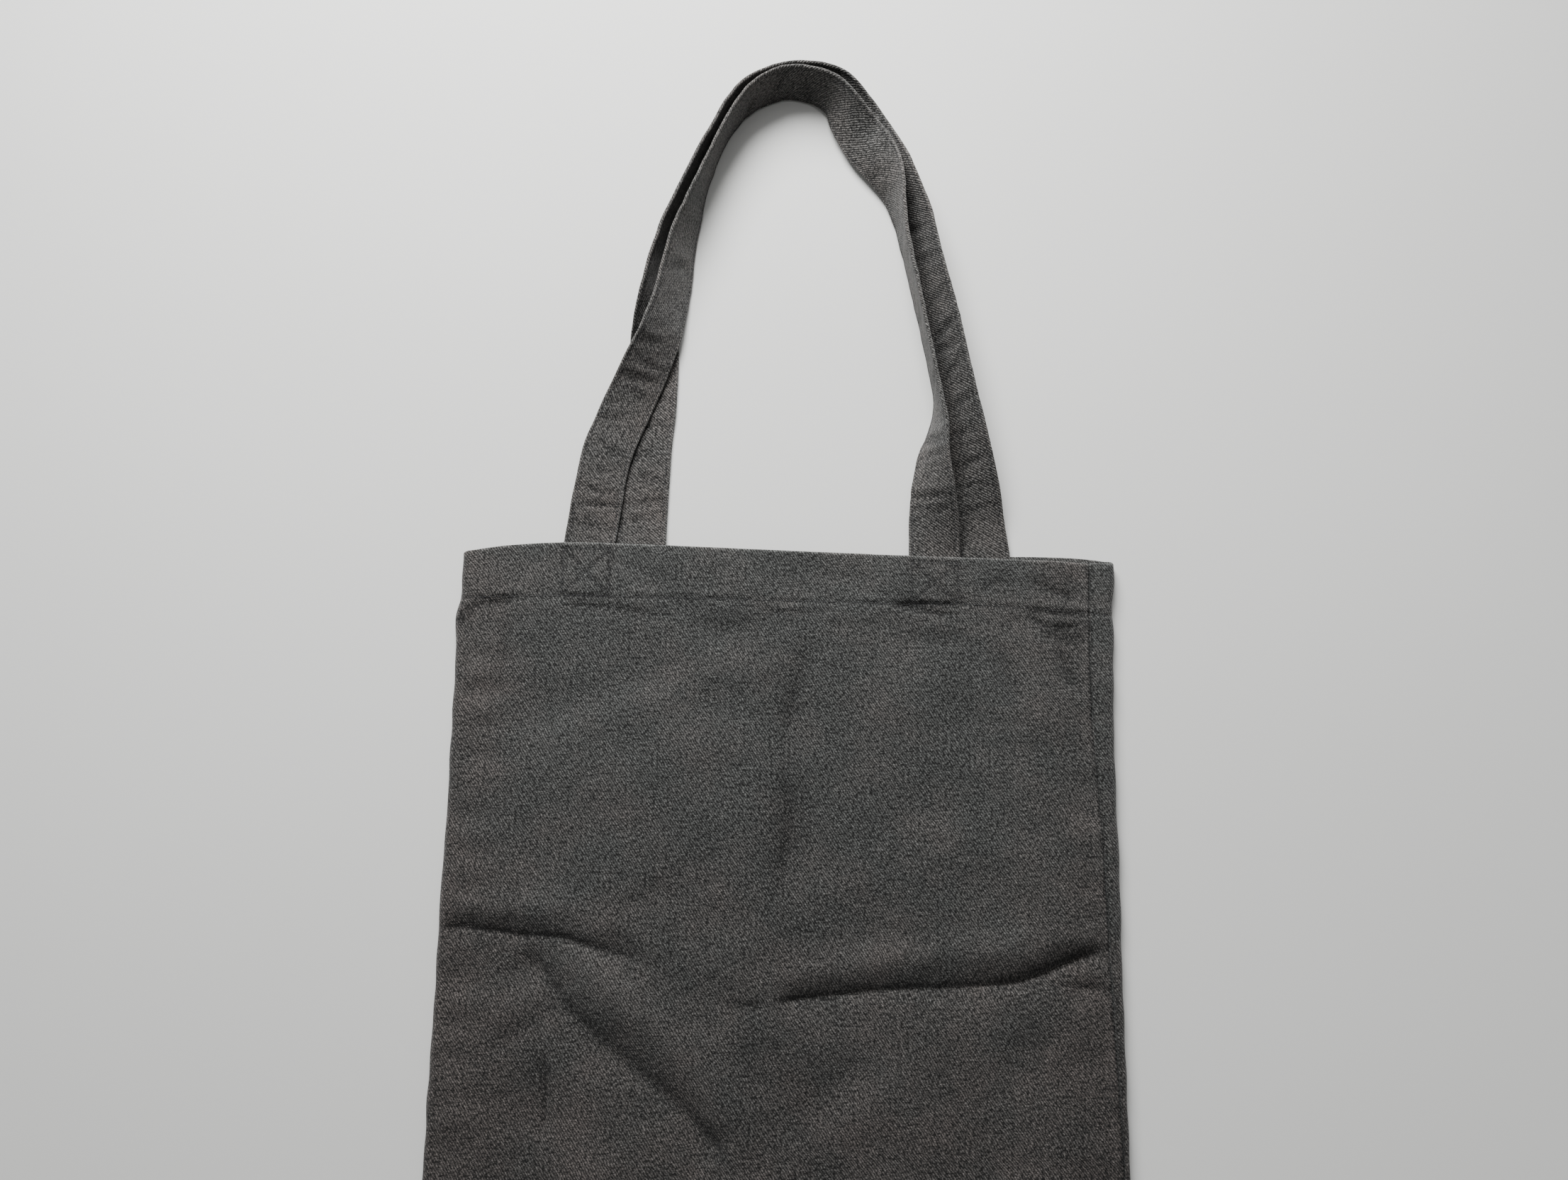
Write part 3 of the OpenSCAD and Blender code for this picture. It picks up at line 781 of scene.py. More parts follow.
# --------------------------------------------------------------------------------------------------
# The two cloths of the bag
# --------------------------------------------------------------------------------------------------
LOW_LEVEL = CLOTH_T / 2
MID_LEVEL = BAG_H / 2
PACKING_FOLDS = (-40, 2)       # where they cross the front, along Y
PACKING_SPACING = 1.15         # between rows there
FRONT_SPACING = (3.5, 0.95)    # between the front's rows, and between those near its hem
BACK_SPACING = (2.45, 1.1)
NEAR_HEM = 12                  # how far below the hem stitching the closer rows start
FRONT_COLUMNS = (2.35, 1.05)   # between the front's columns, and between those across a box of stitching
FRONT_TOP = (-186, 173)        # stretch of the top over which the columns are planned
BACK_COLUMNS = 170
FRONT_MAP_COLUMN = 60          # columns from the side fold to the one that the cloth's map starts from
BACK_MAP_COLUMN = 40
HEM_FOLD_STEPS = 9
OPENING_EDGES = (-186, 170)    # where the top starts to rise as the mouth opens, on the left and the right
BOTTOM_TURN = np.radians(np.linspace(80, 0, 9))
BOTTOM_R = 4.0
CURL_OUT = np.linspace(SEAM_TURN, 0, 6)[None, :-1]
CURL_IN = np.linspace(0, SEAM_TURN, 6)[None, 1:]
HALF_TURN = np.linspace(0, math.pi, 17)[None, :-1]


def finer_near(start, end, spacing, zones, fine):
    """Places from start to end, a spacing apart, or a finer one within the zones."""
    x = np.linspace(start, end, 4001)
    close = np.zeros(x.shape, bool)
    for low, high in zones:
        close |= (x > low) & (x < high)
    count = np.cumsum(np.where(close, 1 / fine, 1 / spacing)) * (x[1] - x[0])
    wanted = np.linspace(count[0], count[-1], int(count[-1]))
    return np.interp(wanted, count, x)


def outer_rows(spacing, hem_spacing, folds=()):
    """Rows of a panel before its hem, as places along Y and turns round the bottom edge."""
    start = BOTTOM_Y + CLOTH_T / 2 + BOTTOM_R
    body = finer_near(start, HEM_STITCH_Y - NEAR_HEM - hem_spacing, spacing, folds, PACKING_SPACING)
    hem = np.arange(HEM_STITCH_Y - NEAR_HEM, MOUTH_Y, hem_spacing)
    rows = np.concatenate([np.full(len(BOTTOM_TURN) - 1, start), body, hem, [MOUTH_Y]])
    turn = np.concatenate([BOTTOM_TURN[:-1], np.zeros(len(rows) - len(BOTTOM_TURN) + 1)])
    return rows, turn


def closed_bottom(grid, turn):
    """Rolls the rows below the bottom turn down to the bag's middle level: heights shrink to it with the
    cosine of the turn, and the rows move out with its sine."""
    turn = turn[:, None]
    grid[..., 1] -= BOTTOM_R * np.sin(turn)
    grid[..., 2] = MID_LEVEL + (grid[..., 2] - MID_LEVEL) * np.cos(turn)
    return grid


def with_hem(grid, rows):
    """The panel's grid, and after it the rows of a hem that is folded over the mouth: half a circle
    about a line half a gap inside the cloth, then the panel's own last rows again, a gap further in."""
    normal = grid_normals(grid)
    edge, edge_normal = grid[-1], normal[-1]
    ahead = grid[-1] - grid[-2]
    ahead /= np.linalg.norm(ahead, axis=-1, keepdims=True)
    turn = np.linspace(0, math.pi, HEM_FOLD_STEPS)[1:-1, None, None]
    bend = edge + HEM_GAP / 2 * ((np.cos(turn) - 1) * edge_normal + np.sin(turn) * ahead)
    back = np.flatnonzero(rows > MOUTH_Y - HEM_DEPTH)[::-1]
    back = np.concatenate([back[:1], back[3:-1:3], back[-1:]])
    inner = grid[back] - normal[back] * HEM_GAP
    return np.concatenate([grid, bend, inner])


def cloth_map(grid, level_column):
    """Places on the flat cloth: the length along each row measured from a column that keeps its own X,
    and the length along that column."""
    steps = np.linalg.norm(np.diff(grid, axis=1), axis=-1)
    u = np.concatenate([np.zeros((len(grid), 1)), np.cumsum(steps, axis=1)], axis=1)
    u += (grid[:, level_column, 0] - u[:, level_column])[:, None]
    lengths = np.linalg.norm(np.diff(grid[:, level_column], axis=0), axis=-1)
    v = BOTTOM_Y + np.concatenate([[0.0], np.cumsum(lengths)])
    return np.stack(np.broadcast_arrays(u, v[:, None]), -1)


def column(x, y, z):
    """Points from their three places, each one number, a row or a grid."""
    return np.stack(np.broadcast_arrays(x, y, z), -1)


def curl_radius(room):
    """Radius of the curl into a side seam that has `room` beside it before the fold."""
    return np.clip(0.3 * room, 0.5, CURL_R)


def fold_radius(room):
    """Reach of a side fold where it starts, beside a seam."""
    return np.clip(0.55 * room, 1.0, FOLD_R)


def side_fold(edge, side, room, y, top_z):
    """Half an ellipse round a side fold between the underside and the top, where t goes from 0 to pi:
    x = edge + side * reach * (1 - sin t) and z = low + half * (1 - side * cos t). Its reach grows from the
    room beside the seam to the full fold's. side is 1 on the left, where it runs up, and -1 on the right,
    where it runs down."""
    fold = fold_radius(room)
    reach = fold + (FOLD_R - fold) * smoothstep(0, math.pi, HALF_TURN)
    half = (top_z - LOW_LEVEL) / 2
    x = edge + side * reach * (1 - np.sin(HALF_TURN))
    return column(x, y, LOW_LEVEL + half * (1 - side * np.cos(HALF_TURN)))


def front_cloth_grid():
    """The front's cloth, from its left seam under the bag, round the left fold and across the top to the
    right seam. It is drawn as five stretches: a curl out of the left seam, the underside, half an
    ellipse round the fold, the top, and a curl down into the right seam. Gives the rows, the grid and
    the first column of the top."""
    rows, turn = outer_rows(*FRONT_SPACING, [PACKING_FOLDS])
    y = rows[:, None]
    left = through(LEFT_EDGE, y) + CLOTH_T / 2 + 0.25 * ripple(41, y, 0 * y, 14, 40, 8)
    under_seam = through(LEFT_SEAM, y)
    room = under_seam - left
    curl = curl_radius(room)
    top_x = left + FOLD_R
    top_z = top_level(top_x, y + front_lift(top_x, y))
    seam = through(RIGHT_SEAM, y)
    seam_curl = curl_radius(through(RIGHT_EDGE, y) - seam)

    foot = under_seam - SEAM_GAP - curl
    a = column(foot + curl * np.sin(CURL_OUT), y, LOW_LEVEL + curl * (1 - np.cos(CURL_OUT)))
    share = np.linspace(0, 1, 6)[None, :-1]
    b = column(foot * (1 - share) + (left + fold_radius(room)) * share, y, LOW_LEVEL)
    c = side_fold(left, 1, room, y, top_z)
    boxes = [(x - BOX_HALF - 2, x + BOX_HALF + 2) for x in FRONT_END_X]
    spacing, fine = FRONT_COLUMNS
    plan = finer_near(*FRONT_TOP, spacing, boxes, fine)
    share = ((plan - plan[0]) / (plan[-1] - plan[0]))[None, :]
    x = top_x * (1 - share) + (seam - SEAM_GAP - seam_curl) * share
    lifted = y + front_lift(x, y)
    d = column(x, y, top_level(x, lifted))
    lip = 0.35 * np.sin(np.linspace(0, math.pi, 5))[None, :]
    dip = d[:, -1:, 2] - seam_curl * (1 - np.cos(CURL_IN)) + lip
    e = column(x[:, -1:] + seam_curl * np.sin(CURL_IN), y, dip)
    grid = np.concatenate([a, b, c, d, e], axis=1)
    grid[..., 1] = y + front_lift(np.clip(grid[..., 0], *FRONT_SPAN), y)
    return rows, closed_bottom(grid, turn), a.shape[1] + b.shape[1] + c.shape[1]


def under_level(x, y):
    """Height of the middle of the cloth under the bag: it rests on the ground, save for soft hollows and
    the grooves that the stitching pulls."""
    hollow = 0.35 * np.clip(ripple(51, x, y, 30, 90) + 0.4, 0, None) * smoothstep(186, 172, np.abs(x))
    line = groove(y - HEM_STITCH_Y, 1.4)
    boxes = sum(box_stitch_dent(x, y, middle) for middle in BACK_END_X)
    return LOW_LEVEL + hollow * smoothstep(180, 160, y) + 0.4 * np.clip(line + boxes, 0, 1)


def back_cloth_grid():
    """The back's cloth, from the right seam on top, round the right fold and under the bag to the left
    seam. It is drawn as the front's is, the other way round. Gives the rows, the grid and the first
    column of the underside."""
    rows, turn = outer_rows(*BACK_SPACING)
    y = rows[:, None]
    right = through(RIGHT_EDGE, y) - CLOTH_T / 2 + 0.2 * ripple(42, y, 0 * y, 12, 36, 8)
    seam = through(RIGHT_SEAM, y)
    room = right - seam
    curl = curl_radius(room)
    line = y - HEM_STITCH_Y
    hem = 0.5 * smoothstep(-1, 2, line) - 0.5 * groove(line, 1.3)
    top_z = BAG_H - CLOTH_T / 2 - 0.3 + hem + 0.25 * ripple(43, y, 0 * y, 16, 50, 8)
    under_seam = through(LEFT_SEAM, y)
    under_curl = curl_radius(under_seam - through(LEFT_EDGE, y))

    foot = seam + SEAM_GAP + curl
    a = column(foot - curl * np.sin(CURL_OUT), y, top_z - curl * (1 - np.cos(CURL_OUT)))
    share = np.linspace(0, 1, 8)[None, :-1]
    x = foot * (1 - share) + (right - fold_radius(room)) * share
    b = column(x, y, top_z + 0.18 * np.sin(share * math.pi))
    c = side_fold(right, -1, room, y, top_z)
    share = np.linspace(0, 1, BACK_COLUMNS)[None, :]
    x = (right - FOLD_R) * (1 - share) + (under_seam + SEAM_GAP + under_curl) * share
    d = column(x, y, under_level(x, y))
    rise = d[:, -1:, 2] + under_curl * (1 - np.cos(CURL_IN))
    e = column(x[:, -1:] - under_curl * np.sin(CURL_IN), y, rise)
    grid = np.concatenate([a, b, c, d, e], axis=1)
    below = smoothstep(BAG_H, 0, grid[..., 2])
    mouth = (1 - below) * STRIP_MOUTH_Y + below * through(BACK_MOUTH, np.clip(grid[..., 0], *BACK_SPAN))
    grid[..., 1] = y + (mouth - MOUTH_Y) * smoothstep(HEM_STITCH_Y - 20, MOUTH_Y, y)
    return rows, closed_bottom(grid, turn), a.shape[1] + b.shape[1] + c.shape[1]


def mouth_wear_and_highlight(uv, mouth_row):
    """Paler line along the folded edge of the mouth, just past the panel's last row: wear, and a painted
    highlight on the fold.
    """
    return 0.9 * groove(uv[..., 1] - uv[mouth_row, 0, 1] - 0.8, 1.1)


def opening_share(x):
    """How far the cloth at x follows the front as the mouth opens: not at all at the side folds, and
    fully between the strap ends."""
    left = smoothstep(OPENING_EDGES[0], FRONT_END_X[0] - STRAP_W / 2 - 1, x)
    right = smoothstep(OPENING_EDGES[1], FRONT_END_X[1] + STRAP_W / 2 + 1, x)
    return left * right


def open_with_mouth(piece):
    """Bakes the piece's transform into its mesh and works out each point's share of the opening, by its X
    and on the top only; no point is moved by it."""
    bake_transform(piece)
    count = len(piece.data.vertices)
    place = np.zeros(count * 3, np.float32)
    piece.data.vertices.foreach_get("co", place)
    x, _, z = (place.reshape(-1, 3) / MM).T
    share = opening_share(x) * smoothstep(1.5, 5.0, z)
    share = np.where(x > FRONT_END_X[0] - STRAP_W, opening_share(x), share)


def make_front_cloth():
    """The front with its hem. It is paler along the mouth, from wear and a painted highlight, paler along the
    left fold from wear, with a painted highlight beside the right seam, and darker from painted shade in
    the creases, along the stitching and in the seam."""
    rows, outer, level_column = front_cloth_grid()
    grid = with_hem(outer, rows)
    uv = cloth_map(grid, level_column + FRONT_MAP_COLUMN)
    x, y, z = np.moveaxis(outer, -1, 0)
    # mask of the painted shade along the groove of the hem stitching
    hem_line = groove(y - through(HEM_LINE, np.clip(x, *FRONT_SPAN)) + 0.3, 0.9)
    # mask of the painted shade in the grooves of the boxes of stitching
    boxes = sum(box_stitch_dent(x, y, middle) for middle in FRONT_END_X)
    from_seam = through(RIGHT_SEAM, rows)[:, None] - x
    # painted highlight on the lip 3.4 mm from the right seam, and painted shadow in the seam itself
    seam = 0.16 * groove(from_seam - 3.4, 1.6) - 0.75 * groove(from_seam, 1.3)
    top = front_relief(x, y)[1] - 0.18 * hem_line - 0.55 * boxes + seam
    side = 0.22 * groove(x - x.min(axis=1, keepdims=True), 1.6)
    wear_and_painted_shade = mouth_wear_and_highlight(uv, len(rows) - 1)
    wear_and_painted_shade[:len(rows)] += top * smoothstep(3, 6, z) + side
    piece = cloth_shell("front_cloth", grid, uv, BODY_CLOTH, CLOTH_T, {"wear_and_painted_shade": wear_and_painted_shade})
    open_with_mouth(piece)
    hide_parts("front_panel", "front_hem")
    return piece


def make_back_cloth():
    """The back with its hem, paler along the mouth from wear and a painted highlight, paler along the right
    fold from wear, and darker from a painted shadow in the seam on top.
    """
    rows, outer, level_column = back_cloth_grid()
    grid = with_hem(outer, rows)
    uv = cloth_map(grid, level_column + BACK_MAP_COLUMN)
    x, _, z = np.moveaxis(outer, -1, 0)
    side = 0.22 * groove(x - x.max(axis=1, keepdims=True), 1.6)
    # painted shadow in the right seam, applied on the top only
    seam = 0.6 * groove(x - through(RIGHT_SEAM, rows)[:, None], 1.5)
    wear_and_painted_shade = mouth_wear_and_highlight(uv, len(rows) - 1)
    wear_and_painted_shade[:len(rows)] += side - seam * smoothstep(3, 6, z)
    piece = cloth_shell("back_cloth", grid, uv, BODY_CLOTH, CLOTH_T, {"wear_and_painted_shade": wear_and_painted_shade})
    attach(piece, "back")
    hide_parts("back_panel", "back_hem")
    return piece


front_cloth = make_front_cloth()
back_cloth = make_back_cloth()


# --------------------------------------------------------------------------------------------------
# Seam allowances inside the bag
# --------------------------------------------------------------------------------------------------
ALLOWANCE_W = 9.0
ALLOWANCE_T = 1.4


def allowance(name, near, far, node):
    """Two pressed layers of cloth along a seam: a strip between two edge lines, with a slight wave
    across its width. Gives the grid of its middle."""
    share = np.linspace(0, 1, 9)[None, :, None]
    middle = near[:, None, :] * (1 - share) + far[:, None, :] * share
    run = np.concatenate([[0.0], np.cumsum(np.linalg.norm(np.diff(near, axis=0), axis=1))])
    middle[..., 2] += 0.12 * ripple(61, run[:, None], share[..., 0] * ALLOWANCE_W, 9, 30, 8)
    uv = np.stack(np.broadcast_arrays(share[..., 0] * ALLOWANCE_W, run[:, None]), -1)
    wear_and_painted_shade = 0.25 * np.broadcast_to(share[..., 0] ** 4, uv.shape[:2])
    piece = cloth_shell(name, middle, uv, BODY_CLOTH, ALLOWANCE_T, {"wear_and_painted_shade": wear_and_painted_shade})
    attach(piece, "back")
    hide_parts(node)
    return middle


def side_allowance(name, seam, edge, level, node):
    """The allowance of a side seam, which lies from the seam towards the side fold. Where there is less
    room than its width, it leans towards the bag's middle level."""
    y = np.linspace(BOTTOM_Y + 11, MOUTH_Y - 2.5, 210)
    x = through(seam, y)
    width = np.minimum(ALLOWANCE_W, np.abs(through(edge, y) - x) - 1.4)
    near = column(x - np.sign(x) * 0.2, y, level)
    lean = math.copysign(0.55, MID_LEVEL - level) * np.clip(ALLOWANCE_W - width, 0, 5)
    far = near + column(np.sign(x) * np.maximum(width, 2.0), 0, lean)
    return allowance(name, near, far, node)


left_strip = side_allowance("left_side_seam_allowance", LEFT_SEAM, LEFT_EDGE, LOW_LEVEL + CLOTH_T / 2 + 0.9,
                            "left_side_seam")
right_strip = side_allowance("right_side_seam_allowance", RIGHT_SEAM, RIGHT_EDGE, BAG_H - CLOTH_T - 1.5,
                             "right_side_seam")
bottom_x = np.linspace(-HALF_W + 4, HALF_W - 4, 190)
bottom_near = column(bottom_x, BOTTOM_Y + 2.2, MID_LEVEL)
bottom_far = bottom_near + np.array([0, ALLOWANCE_W - 1.0, -2.2])
bottom_strip = allowance("bottom_seam_allowance", bottom_near, bottom_far, "bottom_seam")


# --------------------------------------------------------------------------------------------------
# Handles
# --------------------------------------------------------------------------------------------------
# Course of each strap from its left end to its right end: [x, distance past the mouth, height of the lower
# edge, tilt of its width in degrees, with the loop's outer edge raised]. The first and last stretches lie
# inside the hems.
FRONT_COURSE = [
    [-116.3, -30, 5.15, 0], [-116.3, -14, 5.15, 0], [-116.3, 2, 5.2, 0], [-114.5, 15, 3.6, 5],
    [-112, 34, 3.1, 10], [-108, 59, 3.1, 12], [-101.5, 78, 3.1, 12], [-92.5, 99, 3.1, 20],
    [-84, 118, 3.8, 34], [-77.5, 134, 3.8, 44], [-73, 153, 1.6, 52], [-70, 170, 0.3, 57],
    [-67, 190, 0.3, 65], [-62, 209, 0.3, 75], [-56.5, 228, 0.3, 86], [-49, 250, 0.3, 92],
    [-39.5, 271, 0.3, 94], [-26, 288, 0.3, 88], [-8, 297, 0.3, 82], [9, 296, 0.6, 78], [22, 289, 2, 68],
    [31, 276, 3.1, 50], [41, 262, 3.1, 36], [52, 246, 3, 45], [60, 229, 1.2, 68], [64.5, 209, 0.3, 84],
    [69, 187, 0.3, 89], [74.5, 162, 0.3, 90], [79, 139, 0.3, 91], [83.5, 117, 0.3, 91], [87, 97, 0.3, 90],
    [87.5, 79, 0.3, 76], [84.5, 60, 1.2, 57], [84.5, 40, 3.4, 36], [85.5, 19, 4, 14], [86.1, 2, 5.2, 0],
    [86.1, -14, 5.15, 0], [86.1, -30, 5.15, 0],
]
BACK_COURSE = [
    [-86.1, -30, 2.2, 0], [-86.1, -14, 2.2, 0], [-86.1, 2, 1.9, 0], [-86, 22, 0.4, 0], [-85.5, 50, 0.3, 0],
    [-84, 80, 0.3, 0], [-82.5, 107, 0.3, 0], [-82.5, 122, 0.3, 6], [-82, 139, 0.3, 32], [-82, 158, 0.3, 60],
    [-81, 177, 0.3, 77], [-77, 199, 0.3, 88], [-68.5, 222, 0.3, 93], [-60, 243, 0.3, 94],
    [-50.5, 262, 0.3, 94], [-41, 279.5, 0.3, 92], [-27.5, 293, 0.3, 90], [-9, 300.2, 0.3, 86],
    [9, 300.3, 0.3, 80], [26, 293, 0.3, 64], [36, 279.5, 0.3, 44], [45, 266, 0.3, 38], [57, 248, 0.3, 50],
    [67.5, 229, 0.3, 63], [75.5, 208, 0.3, 66], [81, 184, 0.3, 64], [87, 158, 0.3, 60], [93, 132, 0.3, 59],
    [98, 106, 0.3, 56], [103.6, 78, 0.3, 47], [108.2, 50, 0.3, 29], [112.4, 24, 0.4, 8], [115.6, 2, 1.9, 0],
    [116.3, -14, 2.2, 0], [116.3, -30, 2.2, 0],
]
# Wrinkles of each strap: distance along it, place across it, reach along and across, turn, height
FRONT_WRINKLES = [
    (47, 0, 2.6, 14, 2, -0.30), (60, -4, 2.0, 12, 8, -0.60), (68, 2, 1.8, 12, -6, -0.55),
    (80, 4, 2.4, 10, 10, -0.30), (94, -3, 2.4, 10, -14, -0.40), (112, 6, 2.6, 9, 20, -0.35),
    (130, -6, 2.4, 9, -10, -0.35), (140, 2, 2.8, 12, 18, -0.60), (150, -5, 2.4, 9, 8, -0.45),
    (163, 4, 3.0, 11, 14, -0.40), (214, 0, 4.0, 10, 12, -0.35), (250, 5, 3.5, 8, 20, 0.30),
    (330, -6, 3.4, 8, -30, -0.45), (352, 2, 3.0, 9, -20, -0.45), (372, -3, 3.0, 9, 16, -0.45),
    (430, 6, 4.0, 8, 12, 0.35), (446, -6, 3.6, 7, -12, -0.35), (500, 4, 4.0, 8, 18, 0.30),
    (546, -4, 3.0, 8, -10, -0.35), (586, 5, 3.0, 9, 14, -0.35), (622, -2, 2.8, 13, -8, -0.70),
    (631, 3, 2.0, 10, 6, -0.45), (655, -2, 2.2, 13, -5, -0.70), (664, 4, 1.8, 9, 10, -0.35),
]
BACK_WRINKLES = [
    (52, 2, 2.4, 12, 4, -0.30), (63, -3, 2.2, 12, 8, -0.50), (77, -4, 2.6, 11, -10, -0.45),
    (92, 3, 2.6, 9, 12, -0.30), (110, 3, 3.2, 10, 8, -0.30), (128, -3, 3.0, 9, -10, -0.25),
    (240, 2, 3.6, 8, 20, -0.30), (300, -4, 4.0, 8, -12, 0.25), (470, 3, 3.8, 9, 16, -0.35),
    (500, -3, 2.8, 10, -18, -0.45), (520, -3, 3.0, 10, -18, -0.40), (545, 3, 2.6, 10, 14, -0.40),
    (566, 3, 2.6, 12, 12, -0.60), (577, -4, 2.2, 11, -8, -0.55), (592, 0, 2.6, 11, 20, -0.45),
    (612, 4, 2.2, 11, 8, -0.50), (630, -2, 2.4, 12, -6, -0.55), (648, 0, 2.2, 13, 4, -0.60),
    (662, 3, 1.8, 10, -8, -0.45), (676, 0, 1.8, 12, 3, -0.50),
]


class Strap:
    """A strap along its course. middle, across and upward are the section's frame at each ring: the
    middle lies so high that the section's lowest corner is at the course's height."""

    def __init__(self, course, wrinkles, seed, between):
        rows = rounded(course, between)
        ends = np.vstack([rows[:1], rows, rows[-1:]])
        heading = ends[2:, :2] - ends[:-2, :2]
        hx, hy = (heading / np.linalg.norm(heading, axis=1, keepdims=True)).T
        tilt = np.radians(rows[:, 3])
        lift = STRAP_W / 2 * np.abs(np.sin(tilt)) + STRAP_T / 2 * np.cos(tilt)
        self.middle = np.stack([rows[:, 0], MOUTH_Y + rows[:, 1], rows[:, 2] + lift], -1)
        self.across = np.stack([-hy * np.cos(tilt), hx * np.cos(tilt), np.sin(tilt)], -1)
        self.upward = np.stack([hy * np.sin(tilt), -hx * np.sin(tilt), np.cos(tilt)], -1)
        self.run = np.concatenate([[0.0], np.cumsum(np.linalg.norm(np.diff(self.middle, axis=0), axis=1))])
        self.wrinkles = wrinkles
        self.seed = seed

    def relief(self, run, w):
        """How far the whole thickness is moved up at a place on the strap: its wrinkles, each a valley
        between two ridges, and a fine unevenness, which die out where the strap is sewn down."""
        free = smoothstep(28, 44, run) * smoothstep(28, 44, self.run[-1] - run)
        total = 0.10 * ripple(self.seed, run, w, 8, 26, 14)
        total = total + 0.10 * ripple(self.seed + 1, run, w * 0.3, 30, 80, 8)
        for place, offset, reach, reach_across, turn, height in self.wrinkles:
            for shift, share in ((0, 1), (-1.8, -0.8), (1.8, -0.8)):
                middle = (place + shift * reach, offset)
                total = total + share * height * swell(run, w, middle, (reach, reach_across), turn)
        return total * free

    def points(self, run, w, h):
        """Places on the strap: at a distance along it, w across it and h above its middle."""
        middle, across, upward = (np.stack([np.interp(run, self.run, field[:, k]) for k in range(3)], -1)
                                  for field in (self.middle, self.across, self.upward))
        return middle + w[..., None] * across + (h + self.relief(run, w))[..., None] * upward, upward


def strap_section():
    """Section of a pressed, folded strap: flat faces with a shallow channel under each row of stitching,
    and half-round folded edges. Gives each point's place across, above the middle, and round the
    section."""
    half, radius = STRAP_W / 2, STRAP_T / 2
    flat = half - radius
    w = flat * np.sin(np.linspace(-math.pi / 2, math.pi / 2, 25))
    channel = 0.2 * groove(np.abs(w) - (half - STRAP_EDGE_STITCH), 0.7)
    roll = 0.12 * groove(np.abs(w) - (half - 0.9), 1.0)
    face = radius - 0.06 * (w / half) ** 2 - channel + roll - 0.06
    turn = np.linspace(0, math.pi, 8)[1:-1]
    edge_w, edge_h = flat + radius * np.sin(turn), radius * 0.97 * np.cos(turn)
    across = np.concatenate([w, edge_w, w[::-1], -edge_w])
    above = np.concatenate([face, edge_h, -face[::-1], -edge_h])
    steps = np.hypot(np.diff(across, append=across[:1]), np.diff(above, append=above[:1]))
    return across, above, np.concatenate([[0.0], np.cumsum(steps)]) - half


def make_strap(name, course, wrinkles, seed, nodes):
    """The strap's section carried along its course, with edges that wander a little. It is paler along its
    edges, from wear and a painted highlight, and darker along its stitching and in its wrinkles, from
    painted shade."""
    strap = Strap(course, wrinkles, seed, 13)
    across, above, round_run = strap_section()
    run = strap.run[:, None]
    wander = 1 + 0.012 * ripple(seed + 2, run, 0 * run, 12, 50, 8)
    w = across[None, :] * wander
    rings, _ = strap.points(np.broadcast_to(run, w.shape), w, np.broadcast_to(above[None, :], w.shape))
    inward = STRAP_W / 2 - np.abs(across)
    # paler edges from wear and a painted highlight; darker rows of stitching from painted shade in their
    # channels
    wear_and_painted_shade = np.zeros(w.shape) + 0.30 * groove(inward, 1.1) - 0.12 * groove(inward - STRAP_EDGE_STITCH, 0.8)
    # painted shade in the hollows of the wrinkles, and a painted highlight on the few raised ones
    for place, offset, reach, reach_across, turn, height in wrinkles:
        wear_and_painted_shade += 0.9 * height * swell(run, w, (place, offset), (reach, reach_across), turn)
    piece = tube(name, rings, strap.run, round_run, STRAP_CLOTH, {"wear_and_painted_shade": wear_and_painted_shade})
    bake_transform(piece)
    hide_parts(*nodes)
    return strap, piece


def make_strap_stitches(name, strap, node):
    """A row of stitches near each edge of both faces, from the mouth round to the mouth again."""
    rows = []
    half = STRAP_W / 2 - STRAP_EDGE_STITCH
    length = strap.run[-1]
    sewn = length - 2 * SEWN_END
    count = int(sewn / STITCH_PITCH)
    run = SEWN_END + (np.arange(count) + 0.5) * sewn / count
    for w in (-half, half):
        for face in (1, -1):
            across = np.full(count, w)
            above = np.full(count, face * (STRAP_T / 2 - THREAD_R))
            place, upward = strap.points(run, across, above)
            ahead, _ = strap.points(run + HALF_STEP, across, above)
            behind, _ = strap.points(run - HALF_STEP, across, above)
            rows.append((place, ahead - behind, face * upward))
    place, along, up = join_rows(rows)
    piece = stitches(name, place, along, up)
    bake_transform(piece)
    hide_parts(node)


front_strap, front_strap_piece = make_strap(
    "front_strap", FRONT_COURSE, FRONT_WRINKLES, 71,
    ("front_handle", "front_strap_end_left", "front_strap_end_right"))
back_strap, back_strap_piece = make_strap(
    "back_strap", BACK_COURSE, BACK_WRINKLES, 81,
    ("back_handle", "back_strap_end_left", "back_strap_end_right"))
make_strap_stitches("front_strap_stitches", front_strap, "front_handle_stitching")
make_strap_stitches("back_strap_stitches", back_strap, "back_handle_stitching")


# --------------------------------------------------------------------------------------------------
# Stitching of the hems, the strap ends and the seams
# --------------------------------------------------------------------------------------------------
def on_level(points, level, side):
    """Stitches along a line of (x, y) places, laid on the surface at the given level; side is 1 up, -1
    down."""
    middle, along = stitched_line(np.array(points, float))
    x, y = middle.T
    dx, dy = along.T
    rise = level(x + dx / 2, y + dy / 2) - level(x - dx / 2, y - dy / 2)
    up = np.tile([0.0, 0.0, float(side)], (len(x), 1))
    return column(x, y, level(x, y)), column(dx, dy, rise), up


def front_face(x, y):
    """Where the thread lies on the front."""
    return top_level(x, y) + CLOTH_T / 2 + 0.08


def front_inside(x, y):
    """Where it lies under the front hem, inside the bag."""
    return top_level(x, y) - HEM_GAP - CLOTH_T / 2 - 0.02


def under_face(x, y):
    """Where it lies under the bag."""
    return under_level(x, y) - CLOTH_T / 2 - 0.02


